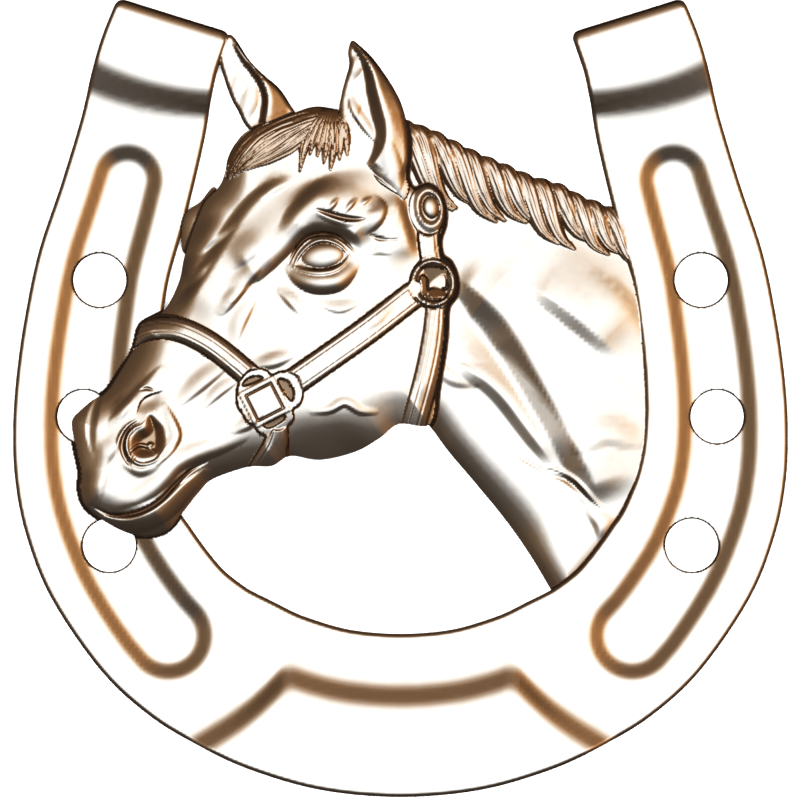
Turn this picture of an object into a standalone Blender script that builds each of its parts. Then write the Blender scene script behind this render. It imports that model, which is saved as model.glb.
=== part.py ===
"""A horse brass: a cast horseshoe with a haltered horse's head in relief inside it.

The casting lies on its flat back with its face up: +X is the shoe's right, +Y points from its toe to its
heels, and the origin is on the back, under the middle of the whole piece.
A brass like this is cast in an open-faced mould and has to draw straight out of it, so no point of its face
overhangs another. That makes the face a height over a flat drawing. The heights are worked out form by form,
the outline is followed round them, and walls and a flat back close them into one solid.
"""

import math

import bmesh
import bpy
import numpy as np

# Driving sizes of the casting, in metres.
HEIGHT = 0.0900
WIDTH = 0.0875
PLATE = 0.0040
WEBS = (0.0133, 0.0147, 0.0160, 0.0176, 0.0183, 0.0184)
EDGE_ROUND = 0.0005
EDGE_DROP = 0.0004
CORNER = 0.0011
HEEL_LENGTH = 0.0092
HEEL_RISE = 0.0019
HEEL_BOW = 0.0008
HEEL_SLANT = 0.08
RAMP = 0.0038
GROOVE_DEPTH = 0.0015
GROOVE_FLANK = 0.0022
GROOVE_INSETS = (0.0072, 0.0079, 0.0081, 0.0086, 0.0083)
GROOVE_HALVES = (0.0037, 0.0042, 0.0044, 0.0047, 0.0051)
GROOVE_START = 0.075
GROOVE_END = 0.352
HOLE_DIAMETER = 0.0060
HOLE_STATIONS = (0.134, 0.206, 0.286)
TOE_DEPTH = 0.0114
TOE_HALF = 0.0238
TOE_SLANT = 0.60
TOE_RISE = 0.0015
HEAD_RELIEF = 0.0057

# How finely the solid is made.
PITCH = 0.00025
TOP_TRIANGLES = 7600
CLIFF = 9.0

# The drawing's own grid: 800 units square, x to the right and y down.
DRAWN_HEIGHT = 797.0
DRAWN_WIDTH = 775.0
DRAWN_MIDDLE = 400.5
SHOE_OUTLINE = (
    (683.2, -2.4), (699, 37), (710, 75), (720, 118), (740, 184), (762, 250), (775, 310), (784, 370), (788, 425),
    (786, 480), (775, 535), (750, 598), (700, 671), (650, 717), (600, 747), (550, 770), (480, 790), (400.5, 797),
)
HEAD_OUTLINE = (
    (250, 130), (236, 143), (228, 158), (225, 173), (219, 187), (205, 201), (196, 221), (189, 240), (184, 258),
    (179, 282), (166, 308), (152, 317), (140, 326), (134, 347), (122, 368), (107, 391), (93, 400), (80, 411),
    (72, 422), (76, 448), (81, 472), (80, 488), (85, 505), (100, 518), (123, 531), (147, 537), (169, 530),
    (184, 511), (200, 491), (213, 479), (248, 467), (272, 466), (290, 456), (320, 460), (355, 452), (380, 438),
    (399, 424), (430, 424), (437, 385), (447, 340), (456, 290), (450, 240), (443, 200), (425, 160), (400, 135),
    (380, 120), (339, 110), (313, 107), (285, 117),
)
CREST = (
    (408, 121), (418, 125), (431, 129), (443, 135), (462, 145), (483, 155), (507, 165), (532, 176), (560, 184),
    (580, 195), (600, 203), (617, 210),
)
THROAT_LINE = ((552, 591), (532, 558), (507, 522), (476, 484), (448, 451), (428, 424))
BEHIND_SHOE = ((645, 225), (664, 300), (668, 420), (640, 520), (566, 606))
BEHIND_HEAD = ((390, 380), (380, 250), (385, 130))
FAR_BROW = ((216, 188), (200, 202), (187, 211), (182, 222), (181, 236), (186, 254), (220, 240))
NEAR_EAR = (
    (352, 41), (348, 52), (349, 66), (343, 88), (339, 110), (341, 127), (348, 143), (357, 157), (370, 175),
    (385, 186), (400, 182), (408, 165), (409, 140), (406, 120), (401, 103), (391, 84), (374, 60), (361, 47),
)
FAR_EAR = (
    (225, 38), (231, 35), (237, 41), (250, 61), (265, 76), (279, 88), (290, 104), (298, 120), (285, 132),
    (262, 138), (246, 126), (238, 111), (231, 98), (224, 78), (219, 57),
)
FORELOCK = (
    (223, 181), (238, 175), (260, 166), (283, 157), (296, 146), (301, 166), (318, 181), (333, 181), (347, 174),
    (352, 152), (341, 125), (339, 108), (313, 105), (285, 115), (250, 128), (232, 145), (222, 172),
)

# Heights of the head and neck above the shoe's face, in drawing units, at places named for what is there.
HEAD_HEIGHTS = {
    "poll": (310, 130, 35), "forehead": (262, 170, 27), "brow": (345, 200, 45), "eye": (324, 258, 44),
    "temple": (385, 215, 41), "cheek": (345, 320, 50), "jowl": (345, 395, 51), "jowl back": (405, 380, 35),
    "jowl low": (320, 450, 39), "throat": (430, 300, 31), "crown": (425, 200, 29), "nose top": (225, 210, 22),
    "nose": (195, 275, 22), "side": (240, 300, 38), "nose low": (150, 350, 27), "nostril": (150, 440, 39),
    "lip": (95, 470, 31), "chin": (150, 520, 29), "jaw": (230, 440, 37), "nose tip": (100, 410, 31),
}
NECK_HEIGHTS = {
    "behind ear": (420, 150, 13), "mane": (520, 190, 7), "mane end": (600, 215, -3), "below ear": (450, 260, 25),
    "throat": (440, 400, 21), "upper neck": (520, 300, 19), "neck": (520, 420, 17), "shoulder": (600, 300, 3),
    "low neck": (590, 480, -1), "rim": (640, 350, -5), "neck end": (550, 570, -5), "low rim": (640, 480, -9),
    "windpipe": (470, 440, 15), "crest end": (640, 230, -9),
}

# How wide the outline turns away and how far it drops there, in drawing units, at named places.
HEAD_EDGES = {
    "forehead": (215, 190, 34, 20), "nose": (184, 262, 24, 20), "nose low": (130, 355, 20, 22),
    "tip": (80, 415, 22, 22), "lip": (80, 480, 24, 24), "chin": (145, 537, 30, 30), "jaw": (210, 480, 34, 30),
    "chin strap": (270, 466, 44, 38), "jowl": (330, 460, 64, 46), "jowl back": (399, 424, 48, 30),
    "throat": (440, 360, 44, 22), "ring": (456, 290, 30, 12), "crown": (440, 190, 16, 8), "poll": (400, 135, 16, 6),
    "top": (313, 107, 26, 16), "left top": (240, 135, 24, 18),
}
NECK_EDGES = {
    "throat": (440, 440, 36, 30), "low": (500, 515, 40, 28), "end": (552, 591, 30, 20), "crest": (440, 135, 14, 10),
    "crest end": (590, 200, 14, 8), "behind shoe": (668, 400, 8, 2), "behind head": (385, 300, 8, 2),
}

UNIT = HEIGHT / DRAWN_HEIGHT
ACROSS = WIDTH / DRAWN_WIDTH
DEEP = HEAD_RELIEF / HEAD_HEIGHTS["jowl"][2]


def placed(points):
    """Drawing points as places on the casting."""
    p = np.asarray(points, float)
    return np.column_stack([(p[:, 0] - DRAWN_MIDDLE) * ACROSS, (DRAWN_HEIGHT / 2 - p[:, 1]) * UNIT])


def rounded_path(points, closed=False, steps=6):
    """A smooth curve through a few drawing points."""
    p = placed(points)
    if closed:
        p = np.vstack([p[-1], p, p[0], p[1]])
    else:
        p = np.vstack([2 * p[0] - p[1], p, 2 * p[-1] - p[-2]])
    t = np.linspace(0, 1, steps, endpoint=False)[:, None]
    spans = []
    for a, b, c, d in zip(p, p[1:], p[2:], p[3:]):
        bend = 2 * a - 5 * b + 4 * c - d + t * (3 * (b - c) + d - a)
        spans.append(b + 0.5 * t * (c - a + t * bend))
    path = np.vstack(spans)
    return path if closed else np.vstack([path, p[-2]])


def ease(t):
    """Rises from 0 to 1, level at both ends."""
    t = np.clip(t, 0.0, 1.0)
    return t * t * (3 - 2 * t)


def bell(t):
    return np.clip(1 - t * t, 0, None) ** 2


def dome(t):
    return np.sqrt(np.clip(1 - t * t, 0, None))


def quarter(t):
    """A quarter circle: steep at 0, level at 1."""
    return np.sqrt(1 - (1 - np.clip(t, 0, 1)) ** 2)


def along(values, share):
    """A value, or a row of values spread evenly along a path."""
    if np.isscalar(values):
        return values
    return np.interp(share, np.linspace(0, 1, len(values)), values)


def smaller(a, b, radius):
    """The smaller of two distances, with the corner between them rounded."""
    return np.minimum(a, b) - np.clip(radius - np.abs(a - b), 0, None) ** 2 / (4 * radius)


def spread(places, x, y, column):
    """A soft map of the values written at named places, nearest place first."""
    top = 0.0
    total = 0.0
    for place in places.values():
        (px, py), = placed([place[:2]])
        weight = ((x - px) ** 2 + (y - py) ** 2 + 60 * UNIT ** 2) ** -1.5
        top = top + weight * place[column]
        total = total + weight
    return top / total


def smooth_surface(heights, x, y):
    """A thin plate bent through the heights written at named places."""
    rows = list(heights.values())
    p = placed([row[:2] for row in rows]) / HEIGHT
    x = x / HEIGHT
    y = y / HEIGHT
    size = len(p)

    def kernel(square):
        return square * np.log(square + 1e-12)

    gap = p[:, None, :] - p[None, :, :]
    a = np.zeros((size + 3, size + 3))
    a[:size, :size] = kernel((gap ** 2).sum(axis=2))
    a[:size, size] = a[size, :size] = 1
    a[:size, size + 1:] = p
    a[size + 1:, :size] = p.T
    w = np.linalg.solve(a, np.concatenate([[row[2] for row in rows], np.zeros(3)]))
    z = w[size] + w[size + 1] * x + w[size + 2] * y
    for (px, py), k in zip(p, w):
        z = z + k * kernel((x - px) ** 2 + (y - py) ** 2)
    return z * DEEP


class Ground:
    """The grid of places on the casting at which heights are worked out."""

    def __init__(self, pitch):
        self.pitch = pitch
        margin = 4 * pitch
        self.xs = np.arange(-WIDTH / 2 - margin, WIDTH / 2 + margin, pitch)
        self.ys = np.arange(-HEIGHT / 2 - margin, HEIGHT / 2 + margin, pitch)
        self.x, self.y = np.meshgrid(self.xs, self.ys)

    def window(self, path, reach):
        """The rows and columns of the grid within reach of a path."""
        low = path.min(axis=0) - reach
        high = path.max(axis=0) + reach
        columns = np.searchsorted(self.xs, [low[0], high[0]])
        rows = np.searchsorted(self.ys, [low[1], high[1]])
        return slice(max(rows[0] - 1, 0), rows[1] + 1), slice(max(columns[0] - 1, 0), columns[1] + 1)

    def nearest(self, path, window):
        """Distance to a path, the share of its length gone by there, and the side: 1 to the right of its travel."""
        x = self.x[window]
        y = self.y[window]
        steps = np.diff(path, axis=0)
        lengths = np.hypot(steps[:, 0], steps[:, 1])
        starts = np.concatenate([[0], np.cumsum(lengths)])
        best = np.full(x.shape, np.inf)
        run = np.zeros(x.shape)
        side = np.zeros(x.shape)
        for (ax, ay), (dx, dy), length, start in zip(path, steps, lengths, starts):
            if length == 0:
                continue
            px = x - ax
            py = y - ay
            t = np.clip((px * dx + py * dy) / length, 0, length)
            square = (px - t * dx / length) ** 2 + (py - t * dy / length) ** 2
            closer = square < best
            best = np.where(closer, square, best)
            run = np.where(closer, start + t, run)
            side = np.where(closer, dy * px - dx * py, side)
        return np.sqrt(best), run / starts[-1], np.where(side >= 0, 1.0, -1.0)

    def region(self, points, reach):
        """Distance inside a closed outline, negative outside it, true within the reach."""
        path = rounded_path(points, closed=True)
        ring = np.vstack([path, path[0]])
        window = self.window(path, reach)
        x = self.x[window]
        y = self.y[window]
        within = np.zeros(x.shape, bool)
        for (ax, ay), (bx, by) in zip(ring, ring[1:]):
            if ay != by:
                within ^= ((ay > y) != (by > y)) & (x < ax + (y - ay) * (bx - ax) / (by - ay))
        distance = self.nearest(ring, window)[0]
        signed = np.full(self.x.shape, -reach)
        signed[window] = np.where(within, distance, -np.minimum(distance, reach))
        return signed

    def ridge(self, z, path, width, height, soft=None, ends=0.0):
        """Raises, or cuts, a path: width is its flank to the right of the travel, soft the other one."""
        widest = max(np.max(width), 0 if soft is None else np.max(soft)) * UNIT
        window = self.window(path, widest)
        distance, share, side = self.nearest(path, window)
        flank = along(width, share)
        if soft is not None:
            flank = np.where(side > 0, flank, along(soft, share))
        amount = along(height, share) * DEEP
        if ends:
            amount = amount * ease(share / ends) * ease((1 - share) / ends)
        z[window] += amount * bell(np.minimum(distance / (flank * UNIT), 1))

    def mound(self, z, centre, radii, height, turn=0.0, shape=bell):
        """Raises, or cuts, an oval; turn is in degrees, clockwise in the drawing."""
        (cx, cy), = placed([centre])
        reach = max(radii) * UNIT
        window = self.window(np.array([(cx, cy)]), reach)
        c = math.cos(math.radians(turn))
        s = math.sin(math.radians(turn))
        across = self.x[window] - cx
        down = cy - self.y[window]
        u = (across * c + down * s) / (radii[0] * UNIT)
        v = (down * c - across * s) / (radii[1] * UNIT)
        z[window] += height * DEEP * shape(np.minimum(np.hypot(u, v), 1))

    def strap(self, z, points, half, thick, crown):
        """A flat strap with rounded back along a path, raised off what it lies on."""
        path = rounded_path(points)
        window = self.window(path, (np.max(half) + 3) * UNIT)
        distance, share, _ = self.nearest(path, window)
        wide = along(half, share) * UNIT
        edge = 2.6 * UNIT
        raised = thick * ease((wide - distance) / edge + 0.5) + crown * bell(np.minimum(distance / wide, 1))
        z[window] += raised * DEEP


class Form:
    """One form of the relief: its floor is the height at its outline, its lip what it gains further in."""

    def __init__(self, inside, floor, width, drop):
        self.inside = inside
        self.floor = floor - drop
        self.lip = np.where(inside < 0, inside * CLIFF, drop * quarter(np.clip(inside, 0, None) / width))

    def surface(self):
        return self.floor + self.lip


def shoe(ground):
    """The horseshoe, laid out by how far a point is in from the outer edge and how far round from a heel."""
    half = SHOE_OUTLINE
    spare = (2 * half[0][0] - half[1][0], 2 * half[0][1] - half[1][1])
    right = (spare,) + half
    left = tuple((2 * DRAWN_MIDDLE - x, y) for x, y in right[-2::-1])
    edge = rounded_path(right + left)
    whole = (slice(None), slice(None))
    distance, share, side = ground.nearest(edge, whole)
    length = np.hypot(*np.diff(edge, axis=0).T).sum()
    spare_length = math.hypot(*(placed([spare]) - placed([half[0]]))[0])
    inset = distance * side
    run = (length / 2 - np.abs(share * length - length / 2)) - spare_length
    outline_length = length - 2 * spare_length
    station = run / outline_length

    web = along(WEBS, 2 * np.clip(station, 0, 0.5))
    inside = np.minimum(inset, web - inset)
    inside = smaller(inside, run + HEEL_SLANT * inset, CORNER)
    spine = spine_of_groove(edge, spare_length, outline_length)
    for x, y in hole_places(edge, spare_length, outline_length):
        inside = np.minimum(inside, np.hypot(ground.x - x, ground.y - y) - HOLE_DIAMETER / 2)

    z = np.full(ground.x.shape, PLATE)
    bow = HEEL_BOW * (1 - (2 * inset / web - 1) ** 2)
    z += HEEL_RISE * ease((HEEL_LENGTH + bow - run) / RAMP + 0.5)
    for path in (spine, spine * (-1, 1)):
        away, share, _ = ground.nearest(path, whole)
        z -= GROOVE_DEPTH * ease((along(GROOVE_HALVES, share) - away) / GROOVE_FLANK)
    toe_half = TOE_HALF - TOE_SLANT * inset
    past_toe = (toe_half - np.abs(outline_length / 2 - run)) / math.hypot(1, TOE_SLANT)
    panel = smaller(TOE_DEPTH - inset, past_toe, CORNER)
    z += TOE_RISE * ease(panel / RAMP + 0.5)
    return Form(inside, z, EDGE_ROUND, EDGE_DROP)


def inset_point(edge, spare_length, outline_length, station, inset):
    """The place a given way round the shoe from its right heel and a given way in from its edge."""
    steps = np.diff(edge, axis=0)
    lengths = np.hypot(steps[:, 0], steps[:, 1])
    starts = np.concatenate([[0], np.cumsum(lengths)])
    run = spare_length + station * outline_length
    x = np.interp(run, starts, edge[:, 0])
    y = np.interp(run, starts, edge[:, 1])
    k = min(np.searchsorted(starts, run) - 1, len(steps) - 1)
    dx, dy = steps[k] / lengths[k]
    return x + dy * inset, y - dx * inset


def spine_of_groove(edge, spare_length, outline_length):
    stations = np.linspace(GROOVE_START, GROOVE_END, 24)
    shares = np.linspace(0, 1, len(stations))
    insets = along(GROOVE_INSETS, shares)
    places = [inset_point(edge, spare_length, outline_length, s, i) for s, i in zip(stations, insets)]
    return np.array(places)


def hole_places(edge, spare_length, outline_length):
    places = []
    for station in HOLE_STATIONS:
        inset = along(GROOVE_INSETS, (station - GROOVE_START) / (GROOVE_END - GROOVE_START))
        x, y = inset_point(edge, spare_length, outline_length, station, inset)
        places += [(x, y), (-x, y)]
    return places


def head(ground):
    inside = ground.region(HEAD_OUTLINE, 70 * UNIT)
    z = PLATE + smooth_surface(HEAD_HEIGHTS, ground.x, ground.y)
    width = spread(HEAD_EDGES, ground.x, ground.y, 2) * UNIT
    drop = spread(HEAD_EDGES, ground.x, ground.y, 3) * DEEP
    planes(ground, z)
    eye(ground, z)
    muzzle(ground, z)
    halter(ground, z)
    forelock(ground, z)
    return Form(inside, z, width, drop)


def planes(ground, z):
    """The bone under the face: the nose ridge, the brow and the hollows between."""
    nose = rounded_path(
        ((292, 188), (272, 199), (256, 214), (243, 234), (229, 256), (212, 280), (192, 306), (178, 326))
    )
    ground.ridge(z, nose, (14, 18, 20, 18, 16), (6, 9, 9.5, 8), soft=(40, 60, 60, 50), ends=0.12)
    brow = rounded_path(((350, 184), (322, 203), (304, 224), (291, 241), (281, 254)))
    ground.ridge(z, brow, (14, 16, 16, 9), (6, 9, 7, 3), soft=30, ends=0.15)
    ground.mound(z, (268, 266), (24, 14), -8, turn=-25)
    tear = rounded_path(((268, 274), (250, 290), (232, 308), (215, 325)))
    ground.ridge(z, tear, 14, (-6, -5, -2), ends=0.2)
    jowl = rounded_path(((313, 413), (330, 411), (342, 406), (352, 408), (364, 413), (380, 414)))
    ground.ridge(z, jowl, 10, (2, 5, 5, 2), soft=4, ends=0.2)


def eye(ground, z):
    ground.mound(z, (325, 258), (50, 36), -9, turn=-8)
    ground.mound(z, (324, 257), (25, 14), 10, turn=-8, shape=dome)
    upper = rounded_path(((294, 266), (300, 256), (310, 246), (320, 241), (328, 241), (338, 243), (352, 253)))
    ground.ridge(z, upper, 2.6, (1, 5, 6, 5, 1), soft=7, ends=0.1)
    fold = rounded_path(((290, 252), (304, 237), (318, 229), (330, 228), (346, 233), (368, 246)))
    ground.ridge(z, fold, 7, (3, 8, 8, 5), soft=18, ends=0.15)
    lower = rounded_path(((296, 266), (306, 273), (318, 276), (330, 275), (342, 270), (352, 259)))
    ground.ridge(z, lower, 3.5, (1.5, 4, 4, 2), soft=3, ends=0.1)
    bag = rounded_path(((290, 271), (303, 281), (316, 285), (328, 285), (341, 281), (354, 269)))
    ground.ridge(z, bag, (8, 14, 14, 8), (3, 9, 10, 8, 3), soft=5, ends=0.12)


def muzzle(ground, z):
    ground.mound(z, (147, 432), (34, 38), 6, turn=20)
    ground.mound(z, (149, 437), (19, 24), -20, turn=12)
    ground.mound(z, (152, 446), (10, 12), 9, turn=30)
    rim = rounded_path(((160, 414), (148, 418), (135, 428), (127, 442), (129, 456), (138, 464), (160, 459)))
    ground.ridge(z, rim, 5, 7, ends=0.12)
    wing = rounded_path(((152, 396), (164, 403), (172, 418), (177, 436), (171, 454), (156, 468)))
    ground.ridge(z, wing, 11, 7, ends=0.2)
    mouth = rounded_path(((199, 469), (185, 477), (170, 490), (152, 505), (130, 512), (108, 513), (90, 505)))
    ground.ridge(z, mouth, 3.5, (-2, -8, -9, -8, -3), soft=5, ends=0.1)
    lip = rounded_path(((196, 478), (182, 489), (168, 501), (150, 513), (128, 519), (106, 518)))
    ground.ridge(z, lip, 10, (2, 5, 6, 4), soft=6, ends=0.15)


def halter(ground, z):
    """The halter: straps over nose, cheek, chin, poll and throat, joined by a buckle and a ring."""
    noseband = ((128, 358), (136, 340), (150, 329), (165, 328), (184, 332), (205, 342), (225, 356), (254, 380))
    ground.strap(z, noseband, 11.5, 7, 4)
    ground.strap(z, ((296, 381), (330, 357), (368, 330), (414, 293)), 13, 6, 2)
    ground.strap(z, ((278, 420), (275, 445), (270, 470)), (10, 19), 6, 3)
    ground.strap(z, ((428, 225), (431, 245), (434, 268)), 10.5, 6, 2)
    ground.strap(z, ((438, 300), (433, 350), (425, 390), (414, 430)), 11, 6, 3)
    buckle(ground, z, (264.5, 402), -30)
    rings(ground, z)


def buckle(ground, z, centre, turn):
    """A square frame with four round lobes that hold the straps."""
    for lobe in ((243, 391), (268, 374), (297, 400), (262, 430)):
        ground.mound(z, lobe, (13, 13), 8, shape=dome)
    (cx, cy), = placed([centre])
    c = math.cos(math.radians(turn))
    s = math.sin(math.radians(turn))
    across = ground.x - cx
    down = cy - ground.y
    out = np.maximum(np.abs(across * c + down * s), np.abs(down * c - across * s)) / UNIT
    z += DEEP * (10 * ease((21 - out) / 2.5) - 4 * ease((14 - out) / 2))


def rings(ground, z):
    (cx, cy), = placed([(433, 283)])
    out = np.hypot((ground.x - cx) / 22.5, (ground.y - cy) / 27) / UNIT
    z += DEEP * (10 * bell(np.clip((out - 0.82) / 0.22, -1, 1)) - 8 * ease((0.72 - out) / 0.1))
    (cx, cy), = placed([(428, 210)])
    out = np.hypot((ground.x - cx) / 16.5, (ground.y - cy) / 24) / UNIT
    z += DEEP * 9 * ease((1 - out) / 0.2)
    ground.mound(z, (431, 210), (11, 19), -7)
    ground.mound(z, (432, 210), (6.5, 11), 10, shape=dome)


def forelock(ground, z):
    """Locks that fall from the poll: one lot combed back over the far side, one lot down the forehead."""
    mass = ground.region(FORELOCK, 12 * UNIT)
    z += 5 * DEEP * ease(0.5 + mass / (6 * UNIT))
    fall(ground, z, 7,
         ((336, 111), (300, 114), (268, 123), (250, 132), (236, 146), (227, 164), (222, 182)),
         ((338, 118), (320, 126), (304, 137), (288, 150), (268, 161), (250, 168), (232, 176)), 7, 4)
    fall(ground, z, 5,
         ((318, 116), (308, 130), (302, 148), (301, 170)),
         ((341, 114), (346, 136), (347, 156), (343, 177)), 5.5, 4)


def fall(ground, z, count, first, last, width, height):
    """A row of locks, each part of the way from the first one's path to the last one's."""
    first = rounded_path(first, steps=4)
    last = rounded_path(last, steps=4)
    for lock in range(count):
        share = lock / (count - 1)
        ground.ridge(z, first + share * (last - first), (2, width, width, 2), (1, height, height, 1), ends=0.1)


def near_ear(ground):
    z = np.full(ground.x.shape, PLATE + 37 * DEEP)
    rim = rounded_path(
        ((354, 44), (364, 56), (373, 72), (379, 90), (384, 110), (388, 128), (387, 143), (380, 157), (370, 169))
    )
    ground.ridge(z, rim, (4, 11, 16, 16, 13, 6), (4, 14, 18, 18, 14, 5), soft=(4, 14, 24, 30, 26, 20), ends=0.08)
    return Form(ground.region(NEAR_EAR, 30 * UNIT), z, 5 * UNIT, 9 * DEEP)


def far_ear(ground):
    z = np.full(ground.x.shape, PLATE + 15 * DEEP)
    rim = rounded_path(((236, 44), (246, 57), (257, 70), (266, 84), (270, 97), (269, 110), (267, 126)))
    ground.ridge(z, rim, (3, 7, 8, 8, 8), (3, 9, 11, 11, 9), soft=(4, 14, 22, 24), ends=0.08)
    return Form(ground.region(FAR_EAR, 30 * UNIT), z, 5 * UNIT, 8 * DEEP)


def far_brow(ground):
    z = np.full(ground.x.shape, PLATE + 12 * DEEP)
    return Form(ground.region(FAR_BROW, 30 * UNIT), z, 14 * UNIT, 10 * DEEP)


def neck(ground):
    outline = CREST + BEHIND_SHOE + THROAT_LINE + BEHIND_HEAD
    z = PLATE + smooth_surface(NECK_HEIGHTS, ground.x, ground.y)
    width = spread(NECK_EDGES, ground.x, ground.y, 2) * UNIT
    drop = spread(NECK_EDGES, ground.x, ground.y, 3) * DEEP
    muscle = rounded_path(((466, 276), (512, 326), (560, 408), (598, 470), (612, 505)))
    ground.ridge(z, muscle, (22, 36, 42, 30), (8, 15, 16, 8), soft=(60, 90, 90, 40), ends=0.12)
    vein = rounded_path(((452, 345), (480, 372), (512, 408), (545, 450), (575, 480)))
    ground.ridge(z, vein, (10, 12, 10), (3, 6, 5, 2), soft=20, ends=0.15)
    shoulder = rounded_path(((540, 285), (575, 310), (620, 350)))
    ground.ridge(z, shoulder, 16, (-3, -7, -3), ends=0.2)
    mane(ground, z)
    return Form(ground.region(outline, 70 * UNIT), z, width, drop)


def mane(ground, z, locks=12, lean=36, drop=74, thinning=0.2):
    """Locks that fall from the crest, each smaller than the one before, towards the shoulder."""
    crest = rounded_path(CREST, steps=8)
    run = np.concatenate([[0], np.cumsum(np.hypot(*np.diff(crest, axis=0).T))])
    for lock in range(locks):
        share = (lock + 0.1) / locks
        root = np.array([np.interp(share * run[-1], run, crest[:, k]) for k in (0, 1)])
        size = 1 - thinning * share
        bends = ((0, 0), (0.28, 0.33), (0.5, 0.66), (1, 1))
        points = np.array([(dx * lean * size, dy * drop * size) for dx, dy in bends])
        path = rounded_path(points) - placed([(0, 0)]) + root
        ground.ridge(z, path, (9, 11, 9, 3), (6, 10, 9, 3), soft=(8, 10, 8, 3), ends=0.06)


def relief(ground):
    """All the forms laid over each other: the surface, the distance inside the outline and the rim's height."""
    forms = [shoe(ground), neck(ground), head(ground), near_ear(ground), far_ear(ground), far_brow(ground)]
    surface = forms[0].surface()
    inside = forms[0].inside
    rim = forms[0].floor
    for form in forms[1:]:
        surface = np.maximum(surface, form.surface())
        rim = np.where(form.inside > inside, form.floor, rim)
        inside = np.maximum(inside, form.inside)
    return surface, inside, rim


def sheet(ground, surface, inside, rim):
    """The face as a mesh: whole grid squares inside the outline, and squares cut where it crosses them."""
    points = []
    number = {}

    def corner(row, column):
        key = (row, column)
        if key not in number:
            number[key] = len(points)
            points.append((ground.xs[column], ground.ys[row], surface[row, column]))
        return number[key]

    def crossing(a, b):
        key = (min(a, b), max(a, b))
        if key not in number:
            da = inside[a]
            db = inside[b]
            t = min(max(da / (da - db), 0.02), 0.98)
            height = (1 - t) * rim[a] + t * rim[b]
            x = (1 - t) * ground.xs[a[1]] + t * ground.xs[b[1]]
            y = (1 - t) * ground.ys[a[0]] + t * ground.ys[b[0]]
            number[key] = len(points)
            points.append((x, y, height))
        return number[key]

    faces = []
    within = inside > 0
    filled = within[:-1, :-1] & within[1:, :-1] & within[:-1, 1:] & within[1:, 1:]
    touched = within[:-1, :-1] | within[1:, :-1] | within[:-1, 1:] | within[1:, 1:]
    for row, column in zip(*np.nonzero(touched)):
        square = ((row, column), (row, column + 1), (row + 1, column + 1), (row + 1, column))
        if filled[row, column]:
            faces.append([corner(*place) for place in square])
            continue
        kept = [within[place] for place in square]
        if kept[0] == kept[2] and kept[1] == kept[3]:
            first = 0 if kept[0] else 1
            for k in (first, first + 2):
                here = square[k % 4]
                faces.append([crossing(square[k - 1], here), corner(*here), crossing(here, square[(k + 1) % 4])])
            continue
        face = []
        for k in range(4):
            here = square[k]
            after = square[(k + 1) % 4]
            if kept[k]:
                face.append(corner(*here))
            if kept[k] != kept[(k + 1) % 4]:
                face.append(crossing(here, after))
        faces.append(face)
    return points, faces


def thinned(points, faces, triangles):
    """The sheet with its flat stretches taken down to few faces."""
    mesh = bpy.data.meshes.new("sheet")
    mesh.from_pydata(points, [], faces)
    bm = bmesh.new()
    bm.from_mesh(mesh)
    bmesh.ops.triangulate(bm, faces=bm.faces)
    whole = len(bm.faces)
    bm.to_mesh(mesh)
    bm.free()
    work = bpy.data.objects.new("sheet", mesh)
    bpy.context.scene.collection.objects.link(work)
    thin = work.modifiers.new("thin", "DECIMATE")
    thin.ratio = min(triangles / whole, 1.0)
    graph = bpy.context.evaluated_depsgraph_get()
    result = bpy.data.meshes.new_from_object(work.evaluated_get(graph))
    bpy.data.objects.remove(work)
    return result


def closed_casting(mesh):
    """Walls from the sheet's rim down to the back, and the flat back."""
    bm = bmesh.new()
    bm.from_mesh(mesh)
    rim = [edge for edge in bm.edges if edge.is_boundary]
    grown = bmesh.ops.extrude_edge_only(bm, edges=rim)["geom"]
    foot = [item for item in grown if isinstance(item, bmesh.types.BMVert)]
    for vertex in foot:
        vertex.co.z = 0.0
    base = [item for item in grown if isinstance(item, bmesh.types.BMEdge) and item.is_boundary]
    bmesh.ops.triangle_fill(bm, edges=base, use_beauty=True, normal=(0, 0, -1))
    bmesh.ops.triangulate(bm, faces=[face for face in bm.faces if len(face.verts) > 3])
    bmesh.ops.recalc_face_normals(bm, faces=bm.faces)
    bm.to_mesh(mesh)
    bm.free()


def cast_metal():
    metal = bpy.data.materials.new("pale_bronze")
    metal.use_nodes = True
    shader = metal.node_tree.nodes["Principled BSDF"]
    shader.inputs["Base Color"].default_value = (0.78, 0.68, 0.58, 1)
    shader.inputs["Metallic"].default_value = 1.0
    shader.inputs["Roughness"].default_value = 0.28
    return metal


def main():
    for old in list(bpy.data.objects):
        bpy.data.objects.remove(old)
    ground = Ground(PITCH)
    points, faces = sheet(ground, *relief(ground))
    mesh = thinned(points, faces, TOP_TRIANGLES)
    closed_casting(mesh)
    mesh.name = "horse_brass"
    mesh.materials.append(cast_metal())
    mesh.shade_smooth()
    mesh.set_sharp_from_angle(angle=math.radians(40))
    brass = bpy.data.objects.new("horse_brass", mesh)
    bpy.context.scene.collection.objects.link(brass)


main()
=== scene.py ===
# %% [markdown]
# # A horse brass, sculpted as a height field
# The object is one casting: a horseshoe with a haltered horse's head in low relief inside it. The frame
# holds it as one coarse solid of the right outline and depth. This lesson sculpts the fine relief over that
# solid, gives it polished metal with dark patina and painted shade in its hollows and on its steep sides,
# and lights it as a plain studio picture.

# %% The frame
import math

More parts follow.
